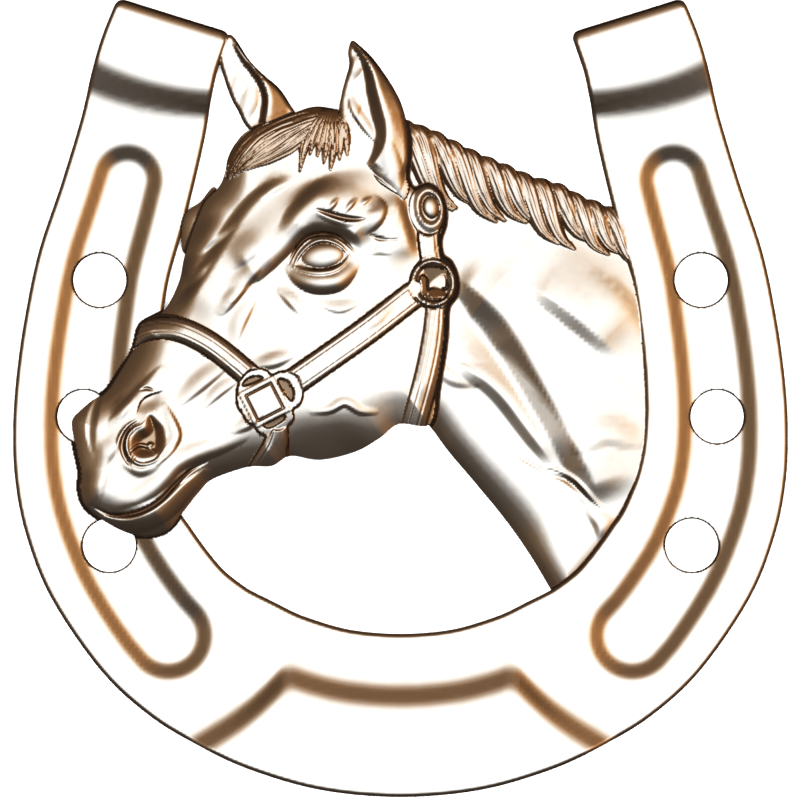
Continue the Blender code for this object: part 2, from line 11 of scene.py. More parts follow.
import bmesh
import bpy
import numpy as np
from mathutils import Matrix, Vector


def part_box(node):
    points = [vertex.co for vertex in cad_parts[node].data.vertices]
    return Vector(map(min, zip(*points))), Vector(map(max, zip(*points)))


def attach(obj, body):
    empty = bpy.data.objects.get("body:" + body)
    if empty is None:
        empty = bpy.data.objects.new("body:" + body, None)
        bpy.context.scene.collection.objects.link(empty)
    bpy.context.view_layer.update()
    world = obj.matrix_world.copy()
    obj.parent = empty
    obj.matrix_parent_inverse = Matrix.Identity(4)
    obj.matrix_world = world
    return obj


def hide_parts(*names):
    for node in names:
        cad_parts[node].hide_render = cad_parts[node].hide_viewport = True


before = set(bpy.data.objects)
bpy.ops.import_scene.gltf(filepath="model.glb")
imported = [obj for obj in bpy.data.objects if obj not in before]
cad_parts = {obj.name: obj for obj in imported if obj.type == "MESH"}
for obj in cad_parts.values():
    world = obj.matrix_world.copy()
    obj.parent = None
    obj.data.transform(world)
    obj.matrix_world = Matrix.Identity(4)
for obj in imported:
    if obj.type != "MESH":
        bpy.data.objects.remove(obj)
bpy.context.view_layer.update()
low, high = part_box("horse_brass")
print("the solid is", [round(1000 * (b - a), 1) for a, b in zip(low, high)], "mm")

# %% [markdown]
# ## The drawing
# A relief is planned on paper, so every form below is placed on one flat drawing, 800 units square with y
# running down, and laid on the casting by its own width and height. Heights are drawn in the same spirit: a
# unit of relief is about a ninth of a millimetre.

# %% Drawing units to metres
DRAWN_HEIGHT = 797.0
DRAWN_WIDTH = 775.0
DRAWN_MIDDLE = 400.5
UNIT = (high[1] - low[1]) / DRAWN_HEIGHT
ACROSS = (high[0] - low[0]) / DRAWN_WIDTH
DEEP = 0.0057 / 51
PLATE = 0.0040


def placed(points):
    """Drawing points as places on the casting."""
    p = np.asarray(points, float)
    return np.column_stack([(p[:, 0] - DRAWN_MIDDLE) * ACROSS, (DRAWN_HEIGHT / 2 - p[:, 1]) * UNIT])


print("one unit is", round(1000 * UNIT, 4), "mm")

# %% [markdown]
# ## Curves
# A few points and a smooth curve through them say more about a line of muscle or a lock of hair than a long
# list would. Catmull-Rom is used because it passes through every point that is drawn.


# %% A smooth curve through a few points
def curve(points, closed=False, steps=6):
    p = placed(points)
    if closed:
        p = np.vstack([p[-1], p, p[0], p[1]])
    else:
        p = np.vstack([2 * p[0] - p[1], p, 2 * p[-1] - p[-2]])
    t = np.linspace(0, 1, steps, endpoint=False)[:, None]
    spans = []
    for a, b, c, d in zip(p, p[1:], p[2:], p[3:]):
        bend = 2 * a - 5 * b + 4 * c - d + t * (3 * (b - c) + d - a)
        spans.append(b + 0.5 * t * (c - a + t * bend))
    path = np.vstack(spans)
    return path if closed else np.vstack([path, p[-2]])


# %% [markdown]
# ## Profiles
# Each form is a curve swept by one of a few cross sections: a bell for soft muscle, a dome for balls and
# locks of hair, a turn for the edge of a body, a fold that steepens down to a crease, and an even slope
# with short soft ends for the side of a raised panel.


# %% The cross sections
def ease(t):
    t = np.clip(t, 0.0, 1.0)
    return t * t * (3 - 2 * t)


def even(t, soft=0.22):
    """Rises from 0 to 1 at an even slope, with short soft ends."""
    t = np.clip(t, 0.0, 1.0)
    start = t * t / (2 * soft * (1 - soft))
    end = 1 - (1 - t) ** 2 / (2 * soft * (1 - soft))
    return np.where(t < soft, start, np.where(t > 1 - soft, end, (t - soft / 2) / (1 - soft)))


def bell(t):
    return np.clip(1 - t * t, 0, None) ** 2


def fold(t):
    return np.clip(1 - t * t, 0, None)


def bank(t):
    return 1 - even(t)


def dome(t):
    return np.sqrt(np.clip(1 - t * t, 0, None))


TURN_POWER = 1.8


def turn(t):
    """The edge of a body: steep at its outline, and less so all the way in."""
    return 1 - (1 - np.clip(t, 0, 1)) ** TURN_POWER


def along(values, share):
    """A value, or a row of values spread evenly along a path."""
    if np.isscalar(values):
        return values
    return np.interp(share, np.linspace(0, 1, len(values)), values)


def smaller(a, b, radius):
    """The smaller of two distances, with the corner between them rounded."""
    return np.minimum(a, b) - np.clip(radius - np.abs(a - b), 0, None) ** 2 / (4 * radius)


print("halfway up, an even slope is at", float(even(0.5)))

# %% [markdown]
# ## The ground
# A brass is cast in an open mould and draws straight out of it, so nothing on its face overhangs. That
# makes the face a height over a grid, which numpy can work on all at once. The ground holds the grid and
# knows how far every place is from a path. Its tools add a swept ridge, a fine streak, an oval mound or a
# cover that lies over what is below. The ground also keeps a map of grime and painted shade, which darkens
# recesses, gaps and the low parts of hair.


# %% The grid and its tools
class Ground:
    def __init__(self, pitch):
        self.pitch = pitch
        margin = 4 * pitch
        self.xs = np.arange(low[0] - margin, high[0] + margin, pitch)
        self.ys = np.arange(low[1] - margin, high[1] + margin, pitch)
        self.x, self.y = np.meshgrid(self.xs, self.ys)
        self.grime_and_shade = np.zeros(self.x.shape)

    def window(self, path, reach):
        """The rows and columns of the grid within reach of a path."""
        first = path.min(axis=0) - reach
        last = path.max(axis=0) + reach
        columns = np.searchsorted(self.xs, [first[0], last[0]])
        rows = np.searchsorted(self.ys, [first[1], last[1]])
        return slice(max(rows[0] - 1, 0), rows[1] + 1), slice(max(columns[0] - 1, 0), columns[1] + 1)

    def nearest(self, path, window):
        """Distance to a path, the share of its length gone by there, and the lean: 1 right of its travel."""
        x = self.x[window]
        y = self.y[window]
        path = path[np.append(True, np.hypot(*np.diff(path, axis=0).T) > 0)]
        steps = np.diff(path, axis=0)
        lengths = np.hypot(steps[:, 0], steps[:, 1])
        best = np.full(x.shape, np.inf)
        which = np.zeros(x.shape, int)
        for k, ((ax, ay), (dx, dy), length) in enumerate(zip(path, steps, lengths)):
            px = x - ax
            py = y - ay
            t = np.clip((px * dx + py * dy) / length ** 2, 0, 1)
            square = (px - t * dx) ** 2 + (py - t * dy) ** 2
            closer = square < best
            best = np.where(closer, square, best)
            which = np.where(closer, k, which)
        distance = np.sqrt(best)
        reach = np.maximum(distance, 1e-9) * lengths[which]
        lean = (steps[which, 1] * (x - path[which, 0]) - steps[which, 0] * (y - path[which, 1])) / reach
        return distance, self.run(x, y, path, steps, lengths, which), np.clip(lean, -1, 1)

    def run(self, x, y, path, steps, lengths, which):
        """The share of the way, with each segment's normal turned evenly into the next one's."""
        flat = np.column_stack([steps[:, 1], -steps[:, 0]]) / lengths[:, None]
        turned = np.vstack([flat[:1], flat[1:] + flat[:-1], flat[-1:]])
        turned /= np.linalg.norm(turned, axis=1, keepdims=True)
        qx = x - path[which, 0]
        qy = y - path[which, 1]
        dx = steps[which, 0]
        dy = steps[which, 1]
        nx = turned[which, 0]
        ny = turned[which, 1]
        mx = turned[which + 1, 0] - nx
        my = turned[which + 1, 1] - ny
        first = qx * ny - qy * nx
        second = qx * my - qy * mx - dx * ny + dy * nx
        third = dy * mx - dx * my
        t = np.clip((qx * dx + qy * dy) / lengths[which] ** 2, 0, 1)
        for _ in range(4):
            slope = second + 2 * t * third
            slope = np.where(np.abs(slope) < 1e-12, -1e-12, slope)
            t = np.clip(t - (first + t * (second + t * third)) / slope, 0, 1)
        starts = np.concatenate([[0], np.cumsum(lengths)])
        return (starts[which] + t * lengths[which]) / starts[-1]

    def about(self, path, window):
        """The share of a path's length gone by around each place, evened out so that it never jumps."""
        steps = np.hypot(*np.diff(path, axis=0).T)
        shares = np.concatenate([[0], np.cumsum(steps)]) / steps.sum()
        spacing = (3 * steps.mean()) ** 2
        total = 0
        summed = 0
        for (px, py), share in zip(path, shares):
            weight = ((self.x[window] - px) ** 2 + (self.y[window] - py) ** 2 + spacing) ** -3.0
            total = total + weight
            summed = summed + weight * share
        return summed / total

    def region(self, points, reach, steps=6):
        """Distance inside a closed outline, negative outside it, true within the reach."""
        path = curve(points, closed=True, steps=steps)
        ring = np.vstack([path, path[0]])
        window = self.window(path, reach)
        x = self.x[window]
        y = self.y[window]
        within = np.zeros(x.shape, bool)
        for (ax, ay), (bx, by) in zip(ring, ring[1:]):
            if ay != by:
                within ^= ((ay > y) != (by > y)) & (x < ax + (y - ay) * (bx - ax) / (by - ay))
        distance = self.nearest(ring, window)[0]
        signed = np.full(self.x.shape, -reach)
        signed[window] = np.where(within, distance, -np.minimum(distance, reach))
        return signed

    def ridge(self, z, path, width, height, soft=None, ends=0.0, shape=bell):
        """Raises, or cuts, a path. Width and shape are for its right flank, soft for its left."""
        if soft is None:
            soft = width
        window = self.window(path, max(np.max(width), np.max(soft)) * UNIT)
        share = self.about(path, window)
        amount = along(height, share)
        if ends:
            amount = amount * ease(share / ends) * ease((1 - share) / ends)
        self.sweep(z, path, window, along(width, share), along(soft, share), amount, shape)

    def streak(self, z, points, width, height, soft=None, shape=bell):
        """A ridge or a crease that thins away at both ends, as a wrinkle or a vein does."""
        path = curve(points)
        if soft is None:
            soft = width
        window = self.window(path, max(width, soft) * UNIT)
        swell = np.sin(np.pi * self.about(path, window))
        thin = 0.30 + 0.70 * swell ** 0.6
        self.sweep(z, path, window, width * thin, soft * thin, height * swell ** 0.9, shape)

    def sweep(self, z, path, window, width, soft, height, shape):
        distance, _, lean = self.nearest(path, window)
        right = ease(0.5 + 0.5 * lean)
        out = np.minimum(distance / ((soft + (width - soft) * right) * UNIT), 1)
        other = bank(out) if shape is bank else bell(out)
        z[window] += height * DEEP * (right * shape(out) + (1 - right) * other)

    def mound(self, z, centre, radii, height, turn=0.0, shape=bell):
        """Raises, or cuts, an oval; turn is in degrees, clockwise in the drawing."""
        (cx, cy), = placed([centre])
        reach = max(radii) * UNIT
        window = self.window(np.array([(cx, cy)]), reach)
        c = math.cos(math.radians(turn))
        s = math.sin(math.radians(turn))
        across = self.x[window] - cx
        down = cy - self.y[window]
        u = (across * c + down * s) / (radii[0] * UNIT)
        v = (down * c - across * s) / (radii[1] * UNIT)
        z[window] += height * DEEP * shape(np.minimum(np.hypot(u, v), 1))

    def oval(self, centre, radii, turn=0.0):
        """How far out each place is in an oval: 0 in its middle, 1 on its edge."""
        (cx, cy), = placed([centre])
        c = math.cos(math.radians(turn))
        s = math.sin(math.radians(turn))
        across = (self.x - cx) / UNIT
        down = (cy - self.y) / UNIT
        return np.hypot((across * c + down * s) / radii[0], (down * c - across * s) / radii[1])

    def cover(self, z, base, mask, thick, grime_and_shade=0.0):
        """Hides what is under a mask with a level that stands a given height over the base."""
        z += mask * (base + thick * DEEP - z)
        # What a cover hides also takes its grime and painted shade, so a lowered gap or recess is painted
        # darker.
        self.grime_and_shade += mask * (grime_and_shade - self.grime_and_shade)


ground = Ground(UNIT)
print("the grid has", ground.x.size, "places")

# %% [markdown]
# ## Forms that lie over each other
# The shoe, neck, head and ears are drawn one by one and laid over each other, as a modeller builds a relief
# from slabs of wax: at each place the highest one shows. A form knows how far inside its outline a place
# is. Its lip turns down at the outline, and outside it falls away as a cliff, so its edge stays crisp.

# %% A form and its lip
CLIFF = 9.0


class Form:
    def __init__(self, inside, floor, width, drop):
        self.inside = inside
        self.floor = floor - drop
        self.lip = np.where(inside < 0, inside * CLIFF, drop * turn(np.clip(inside, 0, None) / width))

    def surface(self):
        return self.floor + self.lip


def spread(places, column):
    """A soft map of the values written at named places, nearest place first."""
    top = 0.0
    total = 0.0
    for place in places.values():
        (px, py), = placed([place[:2]])
        weight = ((ground.x - px) ** 2 + (ground.y - py) ** 2 + 60 * UNIT ** 2) ** -1.5
        top = top + weight * place[column]
        total = total + weight
    return top / total


# %% [markdown]
# The broad heights of the head and neck come from a few named landmarks, with a thin plate bent through
# them, because bone and muscle run smoothly from one to the next.


# %% A thin plate through landmarks
def smooth_surface(heights):
    rows = list(heights.values())
    size = len(rows)
    scale = DRAWN_HEIGHT * UNIT
    p = placed([row[:2] for row in rows]) / scale
    x = ground.x / scale
    y = ground.y / scale

    def kernel(square):
        return square * np.log(square + 1e-12)

    gap = p[:, None, :] - p[None, :, :]
    a = np.zeros((size + 3, size + 3))
    a[:size, :size] = kernel((gap ** 2).sum(axis=2))
    a[:size, size] = a[size, :size] = 1
    a[:size, size + 1:] = p
    a[size + 1:, :size] = p.T
    w = np.linalg.solve(a, np.concatenate([[row[2] for row in rows], np.zeros(3)]))
    z = w[size] + w[size + 1] * x + w[size + 2] * y
    for (px, py), k in zip(p, w):
        z = z + k * kernel((x - px) ** 2 + (y - py) ** 2)
    return z * DEEP


# %% [markdown]
# ## The horseshoe
# A shoe is a bar bent to a U, so it is laid out as a smith sees it: how far round from a heel a place is,
# and how far in from the outer edge. The heels and the toe are raised, a fullered groove runs down each
# branch, and the nails go through the grooves. The sizes are the solid's own.

# %% The shoe's sizes
WEBS = (0.0133, 0.0147, 0.0160, 0.0176, 0.0183, 0.0184)
EDGE_ROUND = 0.00045
EDGE_DROP = 0.00042
HOLE_CRISPNESS = 3.0
CORNER = 0.0011
HEEL_LENGTH = 0.0093
HEEL_RISE = 0.0019
HEEL_BOW = 0.0008
HEEL_SLANT = 0.08
RAMP = 0.0042
HEEL_RAMP = 0.0054
END_ROUND = 0.0013
END_DROP = 0.0007
GROOVE_DEPTH = 0.00112
GROOVE_FLANK = 0.0027
GROOVE_INSETS = (0.0070, 0.0076, 0.0080, 0.0085, 0.0083)
GROOVE_HALVES = (0.0044, 0.0048, 0.0050, 0.0052, 0.0054)
GROOVE_START = 0.082
GROOVE_END = 0.352
HOLE_DIAMETER = 0.0060
HOLE_STATIONS = (0.134, 0.206, 0.286)
TOE_DEPTH = 0.0114
TOE_HALF = 0.0238
TOE_SLANT = 0.60
TOE_RISE = 0.0015
SHOE_OUTLINE = (
    (683.2, -2.4), (699, 37), (710, 75), (720, 118), (740, 184), (762, 250), (775, 310), (784, 370),
    (788, 425), (786, 480), (775, 535), (750, 598), (700, 671), (650, 717), (600, 747), (550, 770),
    (480, 790), (400.5, 797),
)


def place_on_shoe(edge, before_heel, outline_length, station, inset):
    """The place a given way round the shoe from its right heel and a given way in from its edge."""
    steps = np.diff(edge, axis=0)
    lengths = np.hypot(steps[:, 0], steps[:, 1])
    starts = np.concatenate([[0], np.cumsum(lengths)])
    run = before_heel + station * outline_length
    x = np.interp(run, starts, edge[:, 0])
    y = np.interp(run, starts, edge[:, 1])
    k = min(np.searchsorted(starts, run) - 1, len(steps) - 1)
    dx, dy = steps[k] / lengths[k]
    return x + dy * inset, y - dx * inset


# %% The shoe
def shoe():
    before = (2 * SHOE_OUTLINE[0][0] - SHOE_OUTLINE[1][0], 2 * SHOE_OUTLINE[0][1] - SHOE_OUTLINE[1][1])
    right = (before,) + SHOE_OUTLINE
    left = tuple((2 * DRAWN_MIDDLE - x, y) for x, y in right[-2::-1])
    edge = curve(right + left)
    whole = (slice(None), slice(None))
    distance, share, lean = ground.nearest(edge, whole)
    length = np.hypot(*np.diff(edge, axis=0).T).sum()
    before_heel = math.hypot(*(placed([before]) - placed([SHOE_OUTLINE[0]]))[0])
    inset = distance * np.where(lean < 0, -1, 1)
    run = (length / 2 - np.abs(share * length - length / 2)) - before_heel
    outline_length = length - 2 * before_heel
    web = along(WEBS, 2 * np.clip(run / outline_length, 0, 0.5))
    inside = smaller(np.minimum(inset, web - inset), run + HEEL_SLANT * inset, CORNER)
    span = GROOVE_END - GROOVE_START
    for station in HOLE_STATIONS:
        middle = along(GROOVE_INSETS, (station - GROOVE_START) / span)
        x, y = place_on_shoe(edge, before_heel, outline_length, station, middle)
        for mirror in (1, -1):
            from_hole = np.hypot(ground.x - mirror * x, ground.y - y) - HOLE_DIAMETER / 2
            inside = np.minimum(inside, from_hole * HOLE_CRISPNESS)

    z = np.full(ground.x.shape, PLATE)
    bow = HEEL_BOW * (1 - (2 * inset / web - 1) ** 2)
    z += HEEL_RISE * even((HEEL_LENGTH + bow - run) / HEEL_RAMP + 0.5, 0.3)
    z -= END_DROP * (1 - turn((run + HEEL_SLANT * inset) / END_ROUND))
    shares = np.linspace(0, 1, 24)
    spine = np.array([place_on_shoe(edge, before_heel, outline_length, GROOVE_START + span * s,
                                    along(GROOVE_INSETS, s))
                      for s in shares])
    for path in (spine, spine * (-1, 1)):
        away, share, _ = ground.nearest(path, whole)
        z -= GROOVE_DEPTH * even((along(GROOVE_HALVES, share) - away) / GROOVE_FLANK, 0.35)
    toe_half = TOE_HALF - TOE_SLANT * inset
    past_toe = (toe_half - np.abs(outline_length / 2 - run)) / math.hypot(1, TOE_SLANT)
    panel = smaller(TOE_DEPTH - inset, past_toe, CORNER)
    z += TOE_RISE * even(panel / RAMP + 0.5, 0.4)
    return Form(inside, z, EDGE_ROUND, EDGE_DROP)


# %% [markdown]
# ## The head
# The head is one outline, from the poll round the muzzle and the jaw to the throat, with landmarks for its
# height. How sharply its edge turns away differs: a soft wide turn under the jowl, a tight one at the poll.

# %% The head's outline and landmarks
HEAD_OUTLINE = (
    (250, 130), (236, 143), (228, 158), (225, 173), (219, 187), (205, 201), (196, 221), (189, 240),
    (184, 258), (179, 282), (166, 308), (152, 317), (140, 326), (134, 347), (122, 368), (107, 391),
    (93, 400), (80, 411), (72, 422), (76, 448), (81, 472), (80, 488), (85, 505), (100, 518), (123, 531),
    (147, 537), (169, 530), (184, 511), (200, 491), (213, 479), (248, 467), (272, 466), (290, 456),
    (320, 460), (355, 452), (380, 438), (399, 424), (430, 424), (437, 385), (444, 340), (446, 308),
    (455, 294), (456, 280), (450, 264), (441, 256), (439, 240), (444, 224), (444, 208), (439, 193),
    (428, 185), (414, 190), (406, 176), (410, 150), (408, 132), (395, 125), (380, 120), (339, 110),
    (313, 107), (285, 117),
)
HEAD_HEIGHTS = {
    "poll": (310, 130, 36), "forehead": (262, 170, 33), "brow": (345, 200, 45), "eye": (324, 258, 44),
    "temple": (385, 215, 43), "cheek": (345, 320, 48), "jowl": (345, 395, 50), "jowl back": (405, 380, 45),
    "jowl low": (320, 450, 42), "throat": (430, 300, 37), "crown": (425, 200, 34),
    "nose top": (225, 210, 29),
    "nose": (195, 275, 28), "side": (240, 300, 38), "nose low": (150, 350, 31), "nostril": (150, 440, 39),
    "lip": (95, 470, 34), "chin": (150, 520, 32), "jaw": (230, 440, 39), "nose tip": (100, 410, 33),
}
HEAD_EDGES = {
    "forehead": (215, 190, 28, 12), "nose": (184, 262, 22, 10), "nose low": (130, 355, 34, 16),
    "tip": (80, 415, 26, 11), "lip": (80, 480, 26, 10), "chin": (145, 537, 34, 17),
    "jaw": (210, 480, 36, 17),
    "chin strap": (270, 466, 42, 17), "jowl": (330, 460, 64, 21), "jowl back": (399, 424, 46, 12),
    "throat": (440, 360, 14, 2), "ring": (456, 290, 5, 1), "crown": (443, 215, 5, 1),
    "poll": (408, 150, 7, 2),
    "top": (313, 107, 18, 9), "left top": (240, 135, 18, 10),
}

# %% [markdown]
# ### Planes of the face
# Under the skin are the nose ridge, the brow, and the hollows between. Each is a swept ridge with one steep
# flank, which shades as a band, and one soft flank, which fades into the cheek. Wrinkles and veins are
# streaks that thin away at both ends. Every path runs so that its steep flank is on the right of its
# travel.

# %% Nose, brow and hollows
FACE_RIDGES = (
    (((304, 180), (286, 186), (271, 194), (257, 206), (245, 221), (233, 240), (221, 260), (208, 281),
      (194, 301), (180, 321)), (9, 15, 17, 17, 14), (2, 6, 7.5, 7.5, 6), 60, 0.2, bell),
    (((348, 180), (330, 188), (313, 201), (301, 214), (291, 229), (277, 250)), (13, 15, 15, 10),
     (3, 5, 5, 1), 26, 0.35, bell),
    (((386, 192), (360, 190), (332, 196), (308, 206), (290, 224)), (20, 24, 24, 16), (2, 4, 4, 2), 34, 0.35,
     bell),
    (((234, 282), (244, 276), (257, 266), (270, 255), (281, 246), (290, 237), (299, 229), (310, 223),
      (322, 221), (336, 222), (349, 227), (360, 236), (370, 248)), (8, 14, 14, 12, 11, 11, 12, 15, 16),
     (1, 5, 7, 7, 6, 6, 7, 7, 3), 44, 0.15, fold),
    (((410, 266), (406, 244), (400, 222), (394, 203), (390, 188)), 13, (2, 5, 5, 3), 40, 0.25, bell),
)
FACE_STREAKS = (
    (((202, 249), (213, 238), (230, 226)), 9, 3.4, 22),
    (((186, 284), (196, 272), (208, 262)), 9, 3.4, 20),
    (((234, 300), (245, 284), (258, 270)), 7, 2.6, 18),
    (((223, 313), (233, 301), (243, 291)), 6, 2.4, 14),
    (((236, 343), (243, 322), (255, 299)), 6, 2.6, 16),
    (((182, 403), (203, 385), (230, 363)), 7, 3.0, 18),
    (((206, 406), (220, 393), (238, 380)), 5, 2.0, 12),
    (((256, 366), (274, 363), (292, 356)), 7, 3.0, 14),
    (((280, 292), (290, 301), (300, 313)), 6, 2.2, 12),
    (((322, 306), (340, 310), (358, 304)), 5, 1.8, 12),
    (((312, 413), (330, 411), (345, 404), (360, 412), (376, 413)), 4, 2.4, 10),
    (((234, 432), (250, 424), (262, 413)), 6, 2.2, 12),
    (((236, 266), (249, 254), (262, 240)), 9, 2.0, 22),
    (((262, 196), (274, 188), (290, 180)), 8, 2.0, 16),
    (((362, 330), (376, 320), (390, 308)), 8, 1.6, 20),
)


def face_planes(z):
    for points, width, height, soft, ends, shape in FACE_RIDGES:
        ground.ridge(z, curve(points), width, height, soft=soft, ends=ends, shape=shape)
    for points, width, height, soft in FACE_STREAKS:
        ground.streak(z, points, width, height, soft=soft)


# %% [markdown]
# ### The eye
# The ball is a dome between an upper lid, with a dark crease over it, and a thin lower lid. Under the eye
# the orbit ends in a heavy fold, which gives a horse its mild look, and over it the brow is wrinkled. The
# ball is set in last, at its own depth, so that it is smooth however the lids meet round it.

# %% The eye and its lids
EYE_STREAKS = (
    (((291, 269), (299, 276), (311, 281), (323, 282), (336, 280), (346, 273), (355, 263)), 13, 9, 20, fold),
    (((289, 264), (296, 250), (305, 240), (315, 235.5), (325, 234.5), (337, 237), (347, 244), (357, 254)),
     2.8, -4.5, 3, bell),
    (((330, 232), (344, 237), (354, 246), (360, 254)), 4, -2.5, 10, bell),
    (((294, 268), (299, 257), (308, 247), (318, 241.5), (329, 241.5), (341, 247), (350, 257)), 2.6, 3.2, 4,
     bell),
    (((292, 266), (302, 269.5), (313, 271.5), (324, 271.5), (335, 269), (344, 263), (351, 254)), 4, 3.0, 3,
     fold),
    (((317, 210), (330, 214.5), (342, 218), (353, 219.5), (364, 219)), 3.6, -4.5, 4, bell),
    (((318, 214), (332, 219), (346, 223), (358, 224)), 6, 2.0, 8, bell),
    (((329, 211), (333, 206), (338, 200)), 3, 1.8, 5, bell),
    (((346, 212), (351, 206), (356, 200)), 3, 1.8, 5, bell),
    (((361, 206), (366, 202), (371, 199)), 3, 1.4, 5, bell),
    (((366, 232), (374, 225), (380, 216), (382, 207), (377, 199)), 6, 3.0, 16, fold),
    (((371, 236), (379, 239), (388, 240)), 3, -1.8, 3, bell),
    (((386, 240), (394, 240), (402, 238)), 1.8, -0.8, 1.8, bell),
    (((371, 254), (380, 252), (389, 254)), 4, 1.2, 8, bell),
)


def eye(z):
    base = z.copy()
    for points, width, height, soft, shape in EYE_STREAKS:
        ground.streak(z, points, width, height, soft, shape)
    ball = ground.oval((323, 256.5), (21.0, 12.8), -7)
    ground.cover(z, base, ease((1.03 - ball) / 0.10), -0.5)
    z += 5.5 * DEEP * dome(np.minimum(ball, 1)) ** 1.2


# %% [markdown]
# ### The muzzle
# The nostril is a comma-shaped hollow inside a raised rim, with a wing of skin curling into it. The mouth
# is one dark line, pressed in between a soft upper lip and a lower lip that catches the light.

# %% Nostril and mouth
NOSTRIL = (
    (147, 416), (152, 414), (158, 419), (164, 426), (166, 434), (166, 442), (163, 450), (158, 455),
    (151, 458), (141, 459), (133, 455), (130, 447), (131, 439), (137, 431), (145, 426),
)
MUZZLE_STREAKS = (
    (((128, 454), (137, 446), (144, 445.5), (151, 449), (157, 454)), 3, 3, 3, bell),
    (((149, 419), (142, 425), (135, 428.5), (129, 435), (127, 444), (128.5, 453), (133, 460), (140, 464),
      (148, 463.5), (157, 459.5), (163, 452), (168, 444)), 3, 2.6, 3, bell),
    (((138, 419), (129, 425), (123, 432), (119, 441), (118.5, 452)), 3, 1.6, 3, bell),
    (((140, 421), (133, 425), (127, 432), (123.5, 440), (122.5, 448), (125, 457), (132, 468)), 3.4, -3, 3.4,
     bell),
    (((126, 465), (140, 470.5), (152, 467), (164, 457)), 8, 2.6, 6, bell),
    (((158, 464), (171, 451), (178, 437), (176, 426), (166, 405)), 5, 3, 12, bell),
    (((138, 414), (142, 403), (149, 397), (162, 392)), 16, -4.4, 2.4, bell),
    (((141, 390), (147, 388.5), (154, 390)), 2.4, -2, 2.4, bell),
    (((116, 507), (146, 493), (163, 479), (177, 464), (197, 455), (222, 447), (246, 437)), 9, 3.6, 18, fold),
    (((207, 462), (190, 471), (176, 484), (158, 502), (136, 513), (112, 515), (92, 506)), 3, -6, 3.4, bell),
    (((100, 517), (126, 521), (149, 514), (168, 501), (185, 485), (204, 470)), 16, 4.0, 5, fold),
    (((160, 370), (135, 398), (113, 420)), 8, 2.4, 26, bell),
    (((100, 394), (93, 412), (90, 430), (92, 450)), 5, -2, 8, bell),
    (((104, 464), (110, 452), (118, 440)), 8, 2.4, 16, bell),
    (((97, 502), (99, 484), (106, 466)), 10, 2.4, 20, bell),
    (((118, 421), (124, 410), (133, 400)), 7, 2.0, 14, bell),
)


def muzzle(z):
    ground.mound(z, (147, 438), (42, 46), 3, turn=15)
    hollow = ground.region(NOSTRIL, 20 * UNIT) / UNIT
    z -= 9 * DEEP * even((hollow + 1) / 13)
    # The nostril hole is painted darker: painted shade in the hollow, with some grime.
    ground.grime_and_shade += 0.4 * ease((hollow - 1) / 3)
    for points, width, height, soft, shape in MUZZLE_STREAKS:
        ground.streak(z, points, width, height, soft, shape)
    ground.mound(z, (151, 445), (5, 4), 4)
    # The lump inside the nostril is kept clear of the painted shade, so it stays bright as a highlight.
    ground.grime_and_shade *= 1 - 0.9 * bell(np.minimum(ground.oval((150, 446), (9, 5), 20), 1))


# %% [markdown]
# ## The halter
# Flat leather straps with turned edges run over the nose, up the cheek, under the chin, behind the poll and
# down the throat. A strap here is a level band with steep sides, edges bevelled down to them, and a fine
# groove at each bevel where the stitching would lie. Its ends are hidden by the metalwork.


# %% A strap
def strap(z, points, half, thick, bevel=2.4, bevel_width=5.0, seam=0.9, top=1.0):
    """A strap along a path, with half its width, its thickness, and how high its far end stands."""
    path = curve(points)
    window = ground.window(path, (np.max(half) + 4) * UNIT)
    distance, share, _ = ground.nearest(path, window)
    away = along(half, share) - distance / UNIT
    body = thick * ease(away / 2.4 + 0.5) * (1 + (top - 1) * share)
    body += bevel * even(away / bevel_width) - seam * bell(np.clip((away - bevel_width) / 1.6, -1, 1))
    z[window] += body * DEEP


# %% [markdown]
# ### Buckle, ring and button
# The straps meet at a square frame with rounded lobes, where dark gaps show between the frame and the strap
# ends, and at a round ring under the ear. A domed button holds the strap above the ring. Each one hides the
# straps under it and stands at its own height over the cheek, with gaps and recesses cut back into it. The
# gaps and the ring's recesses are painted darker: painted shade, with some grime.

# %% The square buckle
BUCKLE_PLATE = (
    (239, 384), (237, 394), (238, 406), (243, 414), (248, 422), (254, 425), (259, 432), (268, 436),
    (273, 430), (280, 430), (289, 425), (294, 418), (293, 410), (300, 404), (303, 395), (301, 384),
    (297, 376), (288, 372), (280, 372), (272, 375), (266, 370), (258, 369), (249, 371), (243, 377),
)
BUCKLE_GAPS = (
    ((243, 386), (246, 380), (255, 376), (263, 378), (254, 383)),
    ((278, 381), (286, 380), (294, 391), (291, 401)),
    ((264, 424), (283, 415), (284, 420), (270, 428)),
)
BUCKLE_TURN = -27
BUCKLE_HALF = 20.5
WINDOW_HALF = 14.0


def mask_of(outline, edge=2.4):
    """1 inside an outline and 0 outside it, with a steep side between."""
    return ease(ground.region(outline, 8 * UNIT, steps=4) / (edge * UNIT) + 0.5)


def buckle(z, base):
    ground.cover(z, base, mask_of(BUCKLE_PLATE), 4.6)
    for gap in BUCKLE_GAPS:
        # Each gap is lowered and painted darker: painted shade in the gap, with some grime.
        ground.cover(z, base, mask_of(gap), 1, grime_and_shade=0.5)
    (cx, cy), = placed([(264.8, 402)])
    c = math.cos(math.radians(BUCKLE_TURN))
    s = math.sin(math.radians(BUCKLE_TURN))
    across = (ground.x - cx) / UNIT
    down = (cy - ground.y) / UNIT
    out = np.maximum(np.abs(across * c + down * s), np.abs(down * c - across * s))
    ground.cover(z, base, ease((BUCKLE_HALF - out) / 2.0), 5.6)
    z -= 1.8 * DEEP * bell(np.minimum(np.abs(out - WINDOW_HALF) / 1.6, 1))


